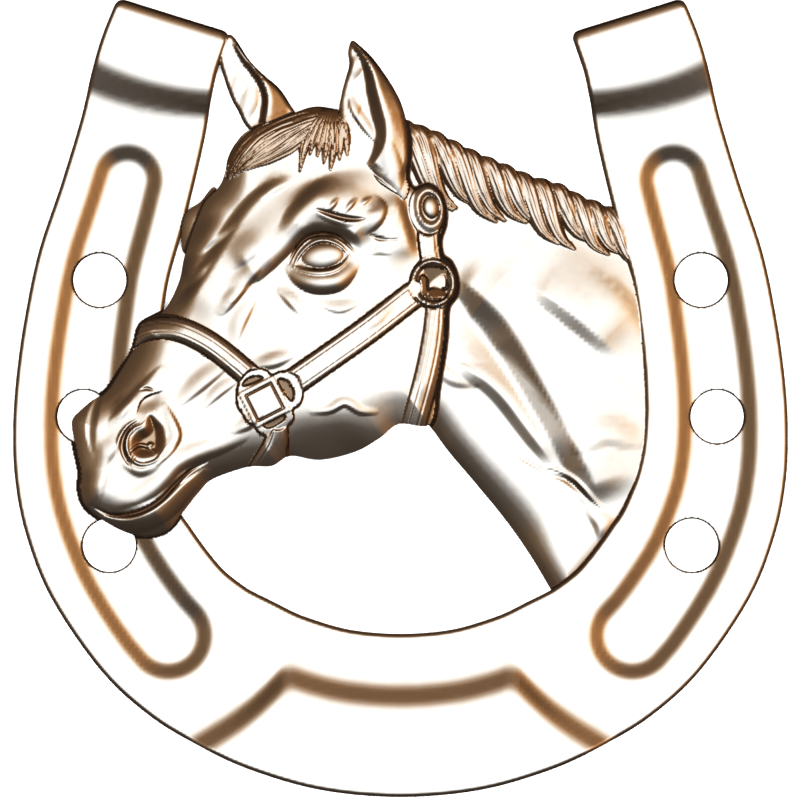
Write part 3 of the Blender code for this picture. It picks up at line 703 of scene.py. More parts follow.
# %% The ring and the button
RING_TILES = (
    (((425, 267), (445, 267), (447, 278), (446, 290), (428, 290), (425, 279)), -3, 0, -0.4, 0.4),
    (((438, 277), (445, 276), (445, 288), (429, 288), (430, 284)), -2, 0.32, 0, 0),
    (((421, 276), (427, 278), (428, 289), (427, 295), (421, 295), (419, 286)), 1, -0.6, 0, 0),
    (((429, 289), (443, 289), (444, 297), (430, 298)), -2, 0, 0.6, 0.3),
    (((413, 280), (420, 283), (421, 290), (418, 296), (414, 298), (409, 291), (409, 284)), 6, 0, 0, 0),
)
RING_ROLLS = (
    (((423, 263), (432, 261), (442, 263)), 5.5, 3.6),
    (((423, 299), (431, 302.5), (440, 302.5), (449, 299)), 6, 4),
)


def ring(z, base):
    """A tile inside the ring has an outline, a height, its rise to the right and down, and its grime and
    painted shade.
    """
    out = ground.oval((433.2, 283.2), (23.6, 25.6))
    ground.cover(z, base, ease((1.0 - out) / 0.09 + 0.5), 2)
    z += 4 * DEEP * bell(np.clip((out - 0.85) / 0.19, -1, 1))
    (cx, cy), = placed([(432, 284)])
    for outline, thick, right, down, grime_and_shade in RING_TILES:
        level = thick + (ground.x - cx) / UNIT * right + (cy - ground.y) / UNIT * down
        ground.cover(z, base, mask_of(outline), level, grime_and_shade)
    for points, half, thick in RING_ROLLS:
        ground.ridge(z, curve(points), half, thick, ends=0.1, shape=dome)


def button(z, base):
    outer = ground.oval((427, 210.5), (17.8, 25.0), -8)
    rim = ground.oval((430, 208.5), (13.6, 20.4), -8)
    ground.cover(z, base, ease((1.0 - outer) / 0.12 + 0.5), 2)
    z += DEEP * 3.6 * even((1.30 - rim) / 0.42)
    z -= DEEP * 3.2 * even((0.86 - rim) / 0.26)
    z += DEEP * 5.0 * dome(np.minimum(ground.oval((431, 207.5), (8.2, 11.0), -8), 1))


# %% [markdown]
# ### The halter laid on the head
# The straps are laid in the order in which they pass over each other: crown, throat and cheek first, then
# the noseband and chin strap over the muzzle, and the metalwork last. What the metal covers is measured
# from the bare cheek, which is kept before the first strap is laid.


# %% All the straps
def halter(z):
    base = z.copy()
    strap(z, ((438, 302), (435, 335), (428, 372), (414, 424)), (11, 12, 12, 12), 3, bevel=2.6, bevel_width=8)
    strap(z, ((428, 226), (429, 244), (432, 262)), 10.5, 4.5, bevel=1.5, bevel_width=4)
    strap(z, ((294, 382), (330, 357), (368, 330), (412, 296)), 13, 4.5)
    strap(z, ((117, 347), (131, 336), (147, 329), (165, 327), (184, 331), (205, 341), (225, 355),
              (250, 376)),
          11.5, 5.5, bevel=4, bevel_width=7)
    strap(z, ((279, 424), (276, 444), (268, 470)), (9, 13, 19), 4.5, bevel=3, bevel_width=7)
    buckle(z, base)
    ring(z, base)
    button(z, base)


# %% [markdown]
# ## Hair
# Hair in a casting is not single hairs but locks with fine furrows. A lock is a domed band along its own
# path, and its furrows are waves across the band, so they draw together at the tip as real strands do.
# Locks lie over each other: where two meet, the higher one shows. The low parts of a lock are painted
# darker and its high parts stay bright: painted shade and highlight, with some grime.

# %% A lock of hair
RANDOM = np.random.default_rng(7)


def lock(hair, path, half, height, strands, tilt=0.25, furrow=0.9):
    """One lock: half its width and its height along the way, and how many strands lie across it."""
    window = ground.window(path, np.max(half) * UNIT)
    distance, share, lean = ground.nearest(path, window)
    across = np.where(lean < 0, -1, 1) * distance / (along(half, share) * UNIT)
    phase = RANDOM.uniform(0, 6)
    drift = RANDOM.uniform(0.3, 0.8) * np.sin(RANDOM.uniform(2, 5) * share + RANDOM.uniform(0, 6))
    waves = np.cos(strands * math.pi * (across + 0.3 * drift) + phase)
    waves += 0.4 * np.cos(strands * 1.6 * math.pi * (across - 0.3 * drift) + 2 * phase)
    shape = along(height, share) * (dome(np.minimum(np.abs(across), 1)) - tilt * across)
    shape += furrow * waves * ease(4 * share) * (1 - 0.5 * share)
    shape = np.where(np.abs(across) < 1, shape, 0)
    hair[window] = np.maximum(hair[window], shape)


def blend_paths(first, last, share):
    first = curve(first, steps=4)
    last = curve(last, steps=4)
    return first + share * (last - first)


# %% The forelock
HAIR_GRIME_AND_SHADE = 0.26
LEFT_TUFT = (
    ((336, 109), (300, 113), (268, 122), (246, 134), (234, 149), (226, 166), (221, 184)),
    ((334, 122), (316, 130), (301, 140), (288, 150), (272, 158), (256, 164), (240, 172)),
)
RIGHT_TUFT = (
    ((322, 112), (312, 128), (304, 148), (300, 172)),
    ((340, 112), (345, 134), (347, 156), (345, 178)),
)


def forelock(z):
    hair = np.zeros(z.shape)
    for share in np.linspace(0.06, 1, 10):
        path = blend_paths(*LEFT_TUFT, share)
        path = path[RANDOM.integers(0, 3):len(path) - RANDOM.integers(0, 4)]
        sway = 1.6 * UNIT * np.sin(np.linspace(0, RANDOM.uniform(4, 9), len(path)) + RANDOM.uniform(0, 6))
        path = path + np.column_stack([sway * 0.5, sway])
        lock(hair, path, (4, 6.5, 6.5, 5, 1.6), (2, 3.2, 3.6, 3.2, 1.2), 3, tilt=-0.3, furrow=0.7)
    for share in np.linspace(0, 1, 7):
        path = blend_paths(*RIGHT_TUFT, share)
        path = path[:len(path) - RANDOM.integers(0, 6)]
        lock(hair, path, (3.5, 5.5, 4.5, 1), (3, 3.8, 3.2, 1), 3, tilt=0.25, furrow=0.7)
    z += hair * DEEP
    # Low hair is painted darker and high strands lighter: painted shade and highlight, with some grime.
    ground.grime_and_shade = np.maximum(ground.grime_and_shade, HAIR_GRIME_AND_SHADE * ease(hair / 2) * (1.2 - 0.12 * hair))


# %% [markdown]
# ## The ears
# Each ear is a cupped leaf: a pale inner lobe, a dark steep wall where the far edge folds up, a thin lit
# rim, and the back of the ear turning away behind it and down into the cheek.

# %% Near and far ear
NEAR_EAR = (
    (352, 41), (348, 52), (349, 66), (343, 88), (339, 110), (341, 127), (348, 143), (357, 157), (368, 170),
    (380, 183), (393, 195), (404, 200), (409, 188), (406, 176), (409, 158), (409, 140), (406, 120),
    (401, 103), (391, 84), (374, 60), (361, 47),
)
FAR_EAR = (
    (225, 38), (231, 35), (237, 41), (250, 61), (265, 76), (279, 88), (290, 104), (298, 120), (285, 132),
    (262, 138), (246, 126), (238, 111), (231, 98), (224, 78), (219, 57),
)


def near_ear():
    down = DRAWN_HEIGHT / 2 - ground.y / UNIT
    z = PLATE + DEEP * (38 + 5 * ease((down - 120) / 70))
    edge = ((352, 42), (364, 55), (373, 72), (378, 90), (383, 108), (387, 124), (387, 140), (381, 155),
            (371, 169))
    ground.ridge(z, curve(edge), (3, 9, 13, 15, 13, 6), (3, 10, 12.5, 12.5, 10, 3),
                 soft=(3, 12, 22, 30, 34, 28), ends=0.06, shape=bank)
    ground.streak(z, ((349, 96), (353, 109), (363, 125), (378, 144)), 4, 2.4, 10, fold)
    ground.streak(z, ((350, 78), (356, 66), (362, 56)), 8, 2.4, 10, fold)
    ground.streak(z, ((346, 128), (352, 112), (360, 96)), 8, 1.6, 12, fold)
    ground.streak(z, ((350, 158), (364, 170), (380, 182), (396, 193)), 3, 3, 3)
    ground.streak(z, ((362, 172), (380, 187), (400, 198)), 3, -3, 3)
    ground.streak(z, ((394, 196), (396, 178), (393, 160), (390, 146)), 9, 2.4, 16, fold)
    edge_width = (5 + 9 * ease((down - 165) / 25)) * UNIT
    return Form(ground.region(NEAR_EAR, 30 * UNIT), z, edge_width, 3 * DEEP)


def far_ear():
    z = np.full(ground.x.shape, PLATE + 15 * DEEP)
    edge = ((234, 42), (244, 56), (256, 70), (265, 84), (269, 98), (268, 112), (265, 128))
    ground.ridge(z, curve(edge), (3, 7, 8, 8, 8), (3, 8, 10, 10, 8), soft=(4, 12, 22, 24), ends=0.08,
                 shape=bank)
    ground.streak(z, ((244, 118), (250, 100), (252, 82)), 9, 2.4, 12, fold)
    ground.streak(z, ((236, 96), (240, 82), (242, 70)), 7, 1.6, 10, fold)
    return Form(ground.region(FAR_EAR, 30 * UNIT), z, 4 * UNIT, 4 * DEEP)


# %% [markdown]
# ## The neck and the mane
# Two muscles run down the neck and show as dark bands, each the steep side of a long soft swell. The mane
# falls from the crest in a dozen locks. Every lock leaves the crest slanting, drops, and flicks out at its
# tip.

# %% The neck's outline and landmarks
CREST = (
    (408, 121), (418, 125), (431, 129), (443, 135), (462, 145), (483, 155), (507, 165), (532, 176),
    (560, 184), (580, 195), (600, 203), (617, 210),
)
THROAT_LINE = ((552, 591), (532, 558), (507, 522), (476, 484), (448, 451), (428, 424))
BEHIND_SHOE = ((645, 225), (664, 300), (668, 420), (640, 520), (566, 606))
BEHIND_HEAD = ((390, 380), (380, 250), (385, 130))
NECK_HEIGHTS = {
    "behind ear": (420, 150, 12), "mane": (520, 190, 3), "mane end": (600, 215, -5),
    "below ear": (450, 260, 4),
    "throat": (440, 400, 5), "upper neck": (520, 300, -5), "neck": (520, 420, -5),
    "shoulder": (600, 300, -4),
    "low neck": (590, 480, -6), "rim": (640, 350, -7), "neck end": (550, 570, -7), "low rim": (640, 480, -8),
    "windpipe": (470, 440, 2), "crest end": (640, 230, -7),
}
NECK_EDGES = {
    "throat": (440, 440, 36, 18), "low": (500, 515, 38, 18), "end": (552, 591, 26, 14),
    "crest": (440, 135, 10, 5),
    "crest end": (590, 200, 10, 5), "behind shoe": (668, 400, 8, 2), "behind head": (385, 300, 8, 2),
}
NECK_RIDGES = (
    (((446, 270), (468, 281), (489, 297), (509, 317), (525, 342), (540, 370), (555, 398), (571, 428),
      (585, 455), (597, 480), (607, 508)), (12, 32, 36, 32, 30, 29, 26), (2, 15, 17, 15.5, 13.5, 12, 5),
      (60, 110, 140, 140, 110, 60), 0.1, bank),
    (((440, 348), (462, 364), (487, 380), (506, 398), (524, 422), (542, 446), (560, 472)),
     (9, 14, 15, 14, 9), (2, 6, 7, 6, 3), 34, 0.2, bank),
    (((508, 278), (532, 286), (560, 302), (586, 322), (614, 350), (630, 368)), (9, 17, 20, 17, 9),
     (1, 6, 7.5, 6, 1), 90, 0.35, bank),
)
NECK_STREAKS = (
    (((540, 466), (558, 470), (574, 480), (588, 494), (600, 506), (612, 512)), 3, 1.6, 5, bell),
    (((553, 476), (566, 480), (578, 489), (590, 502)), 4.5, -2.2, 4.5, bell),
    (((510, 452), (528, 462), (550, 474)), 2.6, -0.7, 2.6, bell),
    (((582, 448), (606, 434), (638, 442)), 16, 3, 26, bell),
    (((590, 512), (600, 524), (602, 540)), 9, 3, 18, bell),
    (((436, 366), (452, 378), (474, 384)), 10, 3.2, 20, bell),
    (((440, 330), (456, 346), (476, 356)), 14, 2, 40, bell),
    (((640, 352), (630, 322), (610, 292), (596, 280)), 20, 2.2, 34, bell),
)


# %% The neck
def neck():
    outline = CREST + BEHIND_SHOE + THROAT_LINE + BEHIND_HEAD
    z = PLATE + smooth_surface(NECK_HEIGHTS)
    for points, width, height, soft, ends, shape in NECK_RIDGES:
        ground.ridge(z, curve(points), width, height, soft=soft, ends=ends, shape=shape)
    for points, width, height, soft, shape in NECK_STREAKS:
        ground.streak(z, points, width, height, soft=soft, shape=shape)
    mane(z)
    inside = ground.region(outline, 70 * UNIT) + scallops()
    return Form(inside, z, spread(NECK_EDGES, 2) * UNIT, spread(NECK_EDGES, 3) * DEEP)


# %% The mane
LOCKS = 12
LOCK_LEAN = (50.0, 34.0)
LOCK_DROP = (82.0, 60.0)


def scallops():
    """Small bulges of the crest, one over each lock."""
    path = curve(CREST, steps=4)
    window = ground.window(path, 14 * UNIT)
    distance, share, _ = ground.nearest(path, window)
    bulge = np.zeros(ground.x.shape)
    wave = np.abs(np.sin(math.pi * (LOCKS * share - 0.3)))
    bulge[window] = 2.6 * UNIT * wave * ease(2 - distance / (7 * UNIT))
    return bulge - 1.3 * UNIT * (bulge > 0)


def mane(z):
    crest = curve(CREST, steps=8)
    run = np.concatenate([[0], np.cumsum(np.hypot(*np.diff(crest, axis=0).T))])
    hair = np.zeros(z.shape)
    for number in range(-1, LOCKS):
        share = (number + 0.3) / LOCKS
        root = np.array([np.interp(share * run[-1], run, crest[:, k]) for k in (0, 1)])
        if number < 0:
            root = root + placed([(DRAWN_MIDDLE - 6, DRAWN_HEIGHT / 2 + 2)])[0]
        lean = along(LOCK_LEAN, share) * RANDOM.uniform(0.85, 1.1)
        drop = along(LOCK_DROP, share) * RANDOM.uniform(0.86, 1.08)
        bends = np.array(((-0.1, -0.03), (0.16, 0.16), (0.33, 0.42), (0.48, 0.66), (0.68, 0.86),
                          (1, 1))) * (lean, drop)
        path = curve(bends, steps=5) - placed([(0, 0)]) + root
        lock(hair, path, (8, 10.5, 11, 9, 6, 2), (1.5, 5, 7.5, 7, 4.5, 1.4), 4, tilt=0.22, furrow=0.55)
    z += hair * DEEP
    # Low hair is painted darker and high strands lighter: painted shade and highlight, with some grime.
    ground.grime_and_shade = np.maximum(ground.grime_and_shade, HAIR_GRIME_AND_SHADE * ease(hair / 2) * (1.2 - 0.12 * hair))


# %% [markdown]
# ## Head and far brow
# The head gathers its planes, eye, muzzle, halter and forelock. The far eye's brow is a small form of its
# own that shows past the nose.

# %% The head
FAR_BROW = ((216, 188), (200, 202), (187, 211), (182, 222), (181, 236), (186, 254), (220, 240))


def head():
    z = PLATE + smooth_surface(HEAD_HEIGHTS)
    face_planes(z)
    eye(z)
    muzzle(z)
    forelock(z)
    halter(z)
    inside = ground.region(HEAD_OUTLINE, 70 * UNIT)
    return Form(inside, z, spread(HEAD_EDGES, 2) * UNIT, spread(HEAD_EDGES, 3) * DEEP)


def far_brow():
    z = np.full(ground.x.shape, PLATE + 12 * DEEP)
    return Form(ground.region(FAR_BROW, 30 * UNIT), z, 20 * UNIT, 9 * DEEP)


# %% [markdown]
# ## The relief as one surface
# All forms are laid over each other. Four maps come out: the height, the distance inside the outline, the
# height that the rim has where the outline is crossed, and where the sculpted forms stand over the shoe.


# %% Lay the forms over each other
def relief():
    forms = [shoe(), neck(), head(), near_ear(), far_ear(), far_brow()]
    surface = forms[0].surface()
    inside = forms[0].inside
    rim = forms[0].floor
    sculpted = np.zeros(surface.shape)
    for form in forms[1:]:
        sculpted = np.where(form.surface() > surface, 1.0, sculpted)
        surface = np.maximum(surface, form.surface())
        rim = np.where(form.inside > inside, form.floor, rim)
        inside = np.maximum(inside, form.inside)
    return surface, inside, rim, sculpted


surface, inside, rim, sculpted = relief()
print("the relief is", round(1000 * float(surface[inside > 0].max()), 2), "mm high")
# %% [markdown]
# ## The mesh
# The surface becomes a mesh in one piece. A mirror finish shows every change of slope, so the mesh is fine
# where the slope changes and coarse where it doesn't. Blocks of grid squares are tried from large to small,
# and a block is kept whole where its four corners already foretell the slope at every place within it. How
# near they must come is set for each size of block, and a small block may be further out.

# %% Where large blocks will do
BLOCKS = {16: 0.035, 8: 0.035, 4: 0.06, 2: 0.22}
level = np.where(inside > 0, surface, rim)
slope_y, slope_x = np.gradient(level, ground.pitch)
steepness = np.sqrt(1 + slope_x ** 2 + slope_y ** 2)
watched = (slope_x / steepness, slope_y / steepness, level / UNIT * 0.12)


def foretold(field, size, rows, columns):
    """The largest gap, in each block, between the field and what the block's corners foretell."""
    corner = field[:rows * size + 1:size, :columns * size + 1:size]
    worst = np.zeros((rows, columns))
    for i in range(size + 1):
        for j in range(size + 1):
            v = i / size
            u = j / size
            guess = (1 - v) * ((1 - u) * corner[:-1, :-1] + u * corner[:-1, 1:])
            guess += v * ((1 - u) * corner[1:, :-1] + u * corner[1:, 1:])
            true = field[i:i + (rows - 1) * size + 1:size, j:j + (columns - 1) * size + 1:size]
            worst = np.maximum(worst, np.abs(true - guess))
    return worst


def kept_blocks(full):
    """Block size at the first square of each kept block, 1 for single squares, 0 elsewhere."""
    sizes = np.zeros(full.shape, int)
    free = full.copy()
    for size in BLOCKS:
        rows = full.shape[0] // size
        columns = full.shape[1] // size
        whole = free[:rows * size, :columns * size].reshape(rows, size, columns, size).all(axis=(1, 3))
        for field in watched:
            whole &= foretold(field, size, rows, columns) < BLOCKS[size]
        r, c = np.nonzero(whole)
        sizes[r * size, c * size] = size
        free[:rows * size, :columns * size] &= ~np.kron(whole, np.ones((size, size), bool))
    sizes[free] = 1
    return sizes


# %% [markdown]
# Next come the triangles. A single square is split along its flatter diagonal. A block is a fan round its
# middle, through each corner that any neighbour uses, so that no gap opens between large and small ones.
# Where only its own four corners are used, two triangles do. Points that no triangle uses are dropped.
# Squares that the outline crosses are cut where it crosses them, so the edge is smooth however it runs.


# %% Triangles for squares and blocks
def single_squares(number, sizes):
    r, c = np.nonzero(sizes == 1)
    flatter = np.abs(surface[r, c] - surface[r + 1, c + 1]) < np.abs(surface[r, c + 1] - surface[r + 1, c])
    a, b, d, e = number[r, c], number[r, c + 1], number[r + 1, c + 1], number[r + 1, c]
    one = np.where(flatter[:, None], np.column_stack([a, b, d]), np.column_stack([a, b, e]))
    two = np.where(flatter[:, None], np.column_stack([a, d, e]), np.column_stack([b, d, e]))
    return np.vstack([one, two]).tolist()


def block_fans(number, sizes):
    faces = []
    for size in BLOCKS:
        steps = range(size)
        around = [(0, k) for k in steps] + [(k, size) for k in steps]
        around += [(size, size - k) for k in steps] + [(size - k, 0) for k in steps]
        r, c = np.nonzero(sizes == size)
        middles = number[r + size // 2, c + size // 2].tolist()
        rings = number[r[:, None] + [i for i, _ in around], c[:, None] + [j for _, j in around]].tolist()
        for middle, ring in zip(middles, rings):
            used = [corner for corner in ring if corner >= 0]
            if len(used) == 4:
                faces += [used[:3], [used[0], used[2], used[3]]]
            else:
                faces += [[middle, a, b] for a, b in zip(used, used[1:] + used[:1])]
    return faces


def cut_squares(number, within, full, points):
    """Triangles for the squares that the outline crosses, with new points where it crosses their sides."""
    touched = within[:-1, :-1] | within[1:, :-1] | within[:-1, 1:] | within[1:, 1:]
    crossings = {}

    def crossing(a, b):
        key = (min(a, b), max(a, b))
        if key not in crossings:
            t = min(max(inside[a] / (inside[a] - inside[b]), 0.02), 0.98)
            x = (1 - t) * ground.xs[a[1]] + t * ground.xs[b[1]]
            y = (1 - t) * ground.ys[a[0]] + t * ground.ys[b[0]]
            crossings[key] = len(points)
            points.append([x, y, (1 - t) * rim[a] + t * rim[b]])
        return crossings[key]

    faces = []
    for r, c in zip(*np.nonzero(touched & ~full)):
        square = ((r, c), (r, c + 1), (r + 1, c + 1), (r + 1, c))
        kept = [within[place] for place in square]
        if kept[0] == kept[2] and kept[1] == kept[3]:
            first = 0 if kept[0] else 1
            for k in (first, first + 2):
                here = square[k % 4]
                faces.append([crossing(square[k - 1], here), int(number[here]),
                              crossing(here, square[(k + 1) % 4])])
            continue
        around = []
        for k in range(4):
            here = square[k]
            after = square[(k + 1) % 4]
            if kept[k]:
                around.append(int(number[here]))
            if kept[k] != kept[(k + 1) % 4]:
                around.append(crossing(here, after))
        faces += [[around[0], around[k], around[k + 1]] for k in range(1, len(around) - 1)]
    return faces


# %% The face of the casting
def face_sheet():
    within = inside > 0
    full = within[:-1, :-1] & within[1:, :-1] & within[:-1, 1:] & within[1:, 1:]
    sizes = kept_blocks(full)
    used = np.zeros(within.shape, bool)
    for size in (1, *BLOCKS):
        r, c = np.nonzero(sizes == size)
        for i, j in ((0, 0), (0, size), (size, 0), (size, size), (size // 2, size // 2)):
            used[r + i, c + j] = True
        print(len(r), "blocks of", size)
    rows, columns = np.nonzero(within[:-1, :-1] | within[1:, :-1] | within[:-1, 1:] | within[1:, 1:])
    edge = ~full[rows, columns]
    for i, j in ((0, 0), (0, 1), (1, 0), (1, 1)):
        used[rows[edge] + i, columns[edge] + j] |= within[rows[edge] + i, columns[edge] + j]
    number = np.full(within.shape, -1)
    rows, columns = np.nonzero(used)
    number[rows, columns] = np.arange(len(rows))
    points = np.column_stack([ground.xs[columns], ground.ys[rows], surface[rows, columns]]).tolist()
    faces = single_squares(number, sizes) + block_fans(number, sizes)
    faces = faces + cut_squares(number, within, full, points)
    points = np.clip(points, low, high)
    mesh = bpy.data.meshes.new("brass_relief")
    mesh.from_pydata(points.tolist(), [], faces)
    return mesh


sheet = face_sheet()
print("the face has", len(sheet.polygons), "triangles")

# %% [markdown]
# Walls drop straight from the rim to the flat back on which the brass lies, and the back closes it. The
# real one is filed flat there, so it is the plainest side.


# %% Walls and back
def close_casting(mesh):
    bm = bmesh.new()
    bm.from_mesh(mesh)
    unused = [point for point in bm.verts if not point.link_faces]
    bmesh.ops.delete(bm, geom=unused, context="VERTS")
    edges = [edge for edge in bm.edges if edge.is_boundary]
    grown = bmesh.ops.extrude_edge_only(bm, edges=edges)["geom"]
    for item in grown:
        if isinstance(item, bmesh.types.BMVert):
            item.co.z = 0.0
    base = [item for item in grown if isinstance(item, bmesh.types.BMEdge) and item.is_boundary]
    bmesh.ops.triangle_fill(bm, edges=base, use_beauty=True, normal=(0, 0, -1))
    bmesh.ops.triangulate(bm, faces=[face for face in bm.faces if len(face.verts) > 3])
    bmesh.ops.recalc_face_normals(bm, faces=bm.faces)
    open_edges = sum(1 for edge in bm.edges if not edge.is_manifold)
    bm.to_mesh(mesh)
    bm.free()
    return open_edges


print("open edges left:", close_casting(sheet))
print("the casting has", len(sheet.polygons), "triangles")

# %% [markdown]
# ## Shading from the drawing
# Long triangles on the smooth cheeks would show as streaks in polished metal. The slope of the field is
# known everywhere, so each corner of the face takes its normal from there. Where a flat triangle only
# touches the foot of a cliff it keeps its own normal, and so do the walls and the back.


# %% Values of a map at the mesh's points
def sampled(field, x, y):
    """The field between its grid places, by the four nearest."""
    u = np.clip((x - ground.xs[0]) / ground.pitch, 0, len(ground.xs) - 1.001)
    v = np.clip((y - ground.ys[0]) / ground.pitch, 0, len(ground.ys) - 1.001)
    c = u.astype(int)
    r = v.astype(int)
    u = u - c
    v = v - r
    lower = field[r, c] * (1 - u) + field[r, c + 1] * u
    upper = field[r + 1, c] * (1 - u) + field[r + 1, c + 1] * u
    return lower * (1 - v) + upper * v


# %% Smooth normals on the face, flat ones on walls and back
ALIKE = 0.80


def shade_from_field(mesh):
    corners = np.empty(len(mesh.loops), int)
    mesh.loops.foreach_get("vertex_index", corners)
    places = np.empty(len(mesh.vertices) * 3)
    mesh.vertices.foreach_get("co", places)
    places = places.reshape(-1, 3)
    normals = np.empty(len(mesh.polygons) * 3)
    mesh.polygons.foreach_get("normal", normals)
    normals = np.repeat(normals.reshape(-1, 3), 3, axis=0)
    on_back = (places[corners, 2] < 1e-6).reshape(-1, 3).any(axis=1)
    x = places[corners, 0]
    y = places[corners, 1]
    field = np.column_stack([-sampled(slope_x, x, y), -sampled(slope_y, x, y), np.ones(len(x))])
    field /= np.linalg.norm(field, axis=1, keepdims=True)
    taken = ~np.repeat(on_back, 3) & ((field * normals).sum(axis=1) > ALIKE)
    normals[taken] = field[taken]
    mesh.polygons.foreach_set("use_smooth", np.ones(len(mesh.polygons), bool))
    mesh.normals_split_custom_set(normals)
    return int(taken.sum())


print("corners shaded from the field:", shade_from_field(sheet))

# %% [markdown]
# Creases and the feet of walls are painted darker: painted shade where shade falls, with some old polish
# and dirt. How deep a place lies below its surroundings is the height blurred a little less the height
# itself, and it is kept on the mesh as a plain number for the finish.


# %% How deep the creases lie, for their painted shade
def blurred(field, reach):
    """A running mean along rows and then columns, twice, which comes close to a soft blur."""
    for axis in (0, 1, 0, 1):
        padded = np.pad(field, [(reach + 1, reach) if k == axis else (0, 0) for k in (0, 1)], mode="edge")
        total = np.cumsum(padded, axis=axis)
        size = 2 * reach + 1
        upper = np.take(total, range(size, total.shape[axis]), axis=axis)
        lower = np.take(total, range(0, total.shape[axis] - size), axis=axis)
        field = (upper - lower) / size
    return field


def keep_map(mesh, name, field):
    places = np.empty(len(mesh.vertices) * 3)
    mesh.vertices.foreach_get("co", places)
    places = places.reshape(-1, 3)
    values = sampled(field, places[:, 0], places[:, 1])
    values[places[:, 2] < 1e-6] = 0
    mesh.attributes.new(name, "FLOAT", "POINT").data.foreach_set("value", values)
    print(name, "runs from", round(float(values.min()), 2), "to", round(float(values.max()), 2))


keep_map(sheet, "crease", sculpted * (blurred(level, 1) - level) / UNIT)
# Grime and painted shade in recesses and low hair are kept as a map for the finish.
keep_map(sheet, "grime_and_shade", sculpted * np.clip(ground.grime_and_shade, 0, 1))
# %% [markdown]
# ## Shader maths in plain Python
# Materials are networks of nodes, but a formula reads better than a drawing of one. A small class wraps a
# socket, so that an expression such as 1 - mask * 0.5 adds its own Math nodes. Every other node comes from
# one method, which makes its settings first and then its values and links.


# %% A socket that can be reckoned with
class Graph:
    def __init__(self, tree):
        self.tree = tree
        tree.nodes.clear()

    def node(self, kind, settings=None, inputs=None):
        made = self.tree.nodes.new(kind)
        for name, value in (settings or {}).items():
            setattr(made, name, value)
        for name, value in (inputs or {}).items():
            self.put(made.inputs[name], value)
        return made

    def put(self, socket, value):
        if isinstance(value, Value):
            self.tree.links.new(value.socket, socket)
        else:
            socket.default_value = value

    def value(self, kind, settings=None, inputs=None, output=0):
        return Value(self, self.node(kind, settings, inputs).outputs[output])

    def ramp(self, factor, stops):
        """A colour ramp over a factor; each stop is a place and a colour."""
        made = self.node("ShaderNodeValToRGB", {}, {"Fac": factor})
        line = made.color_ramp
        while len(line.elements) < len(stops):
            line.elements.new(0.5)
        for element, (place, colour) in zip(line.elements, stops):
            element.position = place
            element.color = colour + (1.0,)
        return Value(self, made.outputs["Color"])

    def mix(self, factor, a, b):
        return self.value("ShaderNodeMix", {"data_type": "RGBA"}, {0: factor, 6: a, 7: b}, output=2)


class Value:
    def __init__(self, graph, socket):
        self.graph = graph
        self.socket = socket

    def reckon(self, operation, *inputs):
        return self.graph.value("ShaderNodeMath", {"operation": operation}, dict(enumerate(inputs)))

    def __add__(self, other):
        return self.reckon("ADD", self, other)

    __radd__ = __add__

    def __sub__(self, other):
        return self.reckon("SUBTRACT", self, other)

    def __rsub__(self, other):
        return self.reckon("SUBTRACT", other, self)

    def __mul__(self, other):
        return self.reckon("MULTIPLY", self, other)

    __rmul__ = __mul__

    def __truediv__(self, other):
        return self.reckon("DIVIDE", self, other)

    def __rtruediv__(self, other):
        return self.reckon("DIVIDE", other, self)

    def larger(self, other):
        return self.reckon("MAXIMUM", self, other)

    def between(self, low, high):
        """0 below the low value, 1 above the high one, and eased between them."""
        settings = {"interpolation_type": "SMOOTHSTEP"}
        return self.graph.value("ShaderNodeMapRange", settings, {0: self, 1: low, 2: high, 3: 0.0, 4: 1.0})


print("shader maths is ready")
# %% [markdown]
# ## Polished metal with painted shade
# The casting is one pale, warm alloy. Its faces that look up stay bright, while steep sides, creases, walls
# and the back are painted dark brown: partly a patina, partly painted shade that stands for how the relief
# is shaded. The finish follows the shape: the normal says how steep a place is, and kept maps say how deep
# it lies and where grime and painted shade go. From bright to dark the colour passes through a warm
# tarnish, which also serves as painted half shade.

# %% Painted shade on steep sides and in creases
def lit(red, green, blue):
    """A colour as it shows on a screen, in the linear light that nodes use."""
    return tuple(((c / 255 + 0.055) / 1.055) ** 2.4 if c > 10 else c / 255 / 12.92
                 for c in (red, green, blue))


POLISHED = (0.95, 0.93, 0.90)
WORN = (0.92, 0.89, 0.85)
TARNISH_AND_HALF_SHADE = lit(222, 194, 164)
PATINA_AND_SHADE = lit(72, 50, 34)
CAST_SKIN_AND_SHADE = lit(44, 32, 23)

STEEP_FACING = (0.36, 0.66)
DEEP_CREASE = (0.30, 1.3)
ROUGHNESS = 0.14
DARK_ROUGHNESS = 0.30

metal = bpy.data.materials.new("polished_cast_brass")
metal.use_nodes = True
graph = Graph(metal.node_tree)
place = graph.value("ShaderNodeTexCoord", output="Object")
normal = graph.value("ShaderNodeTexCoord", output="Normal")
facing = graph.value("ShaderNodeSeparateXYZ", {}, {0: normal}, output=2)
crease = graph.value("ShaderNodeAttribute", {"attribute_name": "crease"}, output="Fac")
grime_and_shade = graph.value("ShaderNodeAttribute", {"attribute_name": "grime_and_shade"}, output="Fac")
mottle = graph.value("ShaderNodeTexNoise", {}, {"Vector": place, "Scale": 420.0, "Detail": 5.0,
                                                "Roughness": 0.6})
grain = graph.value("ShaderNodeTexNoise", {}, {"Vector": place, "Scale": 2600.0, "Detail": 3.0})
# Steep places are painted darker: patina and painted shade where a slope turns away from the light overhead.
steep = 1.0 - (facing + (mottle - 0.5) * 0.06).between(*STEEP_FACING)
# Creases, and recesses on the grime map, are painted darker too: painted shade with some grime.
deep = (crease + (mottle - 0.5) * 0.3).between(*DEEP_CREASE).larger(grime_and_shade)
dark = steep.larger(deep)
print("the finish is mixed from steepness and creases")

# %% [markdown]
# Rubbing leaves fine straight scratches, mostly along the piece, and a cast face is never quite flat. Both
# are far too small to see as shapes, so they are a bump and a change of roughness. Scratches are noise
# stretched a long way in one direction. The brass is left out of its own reflections, because the drawing
# shows none.

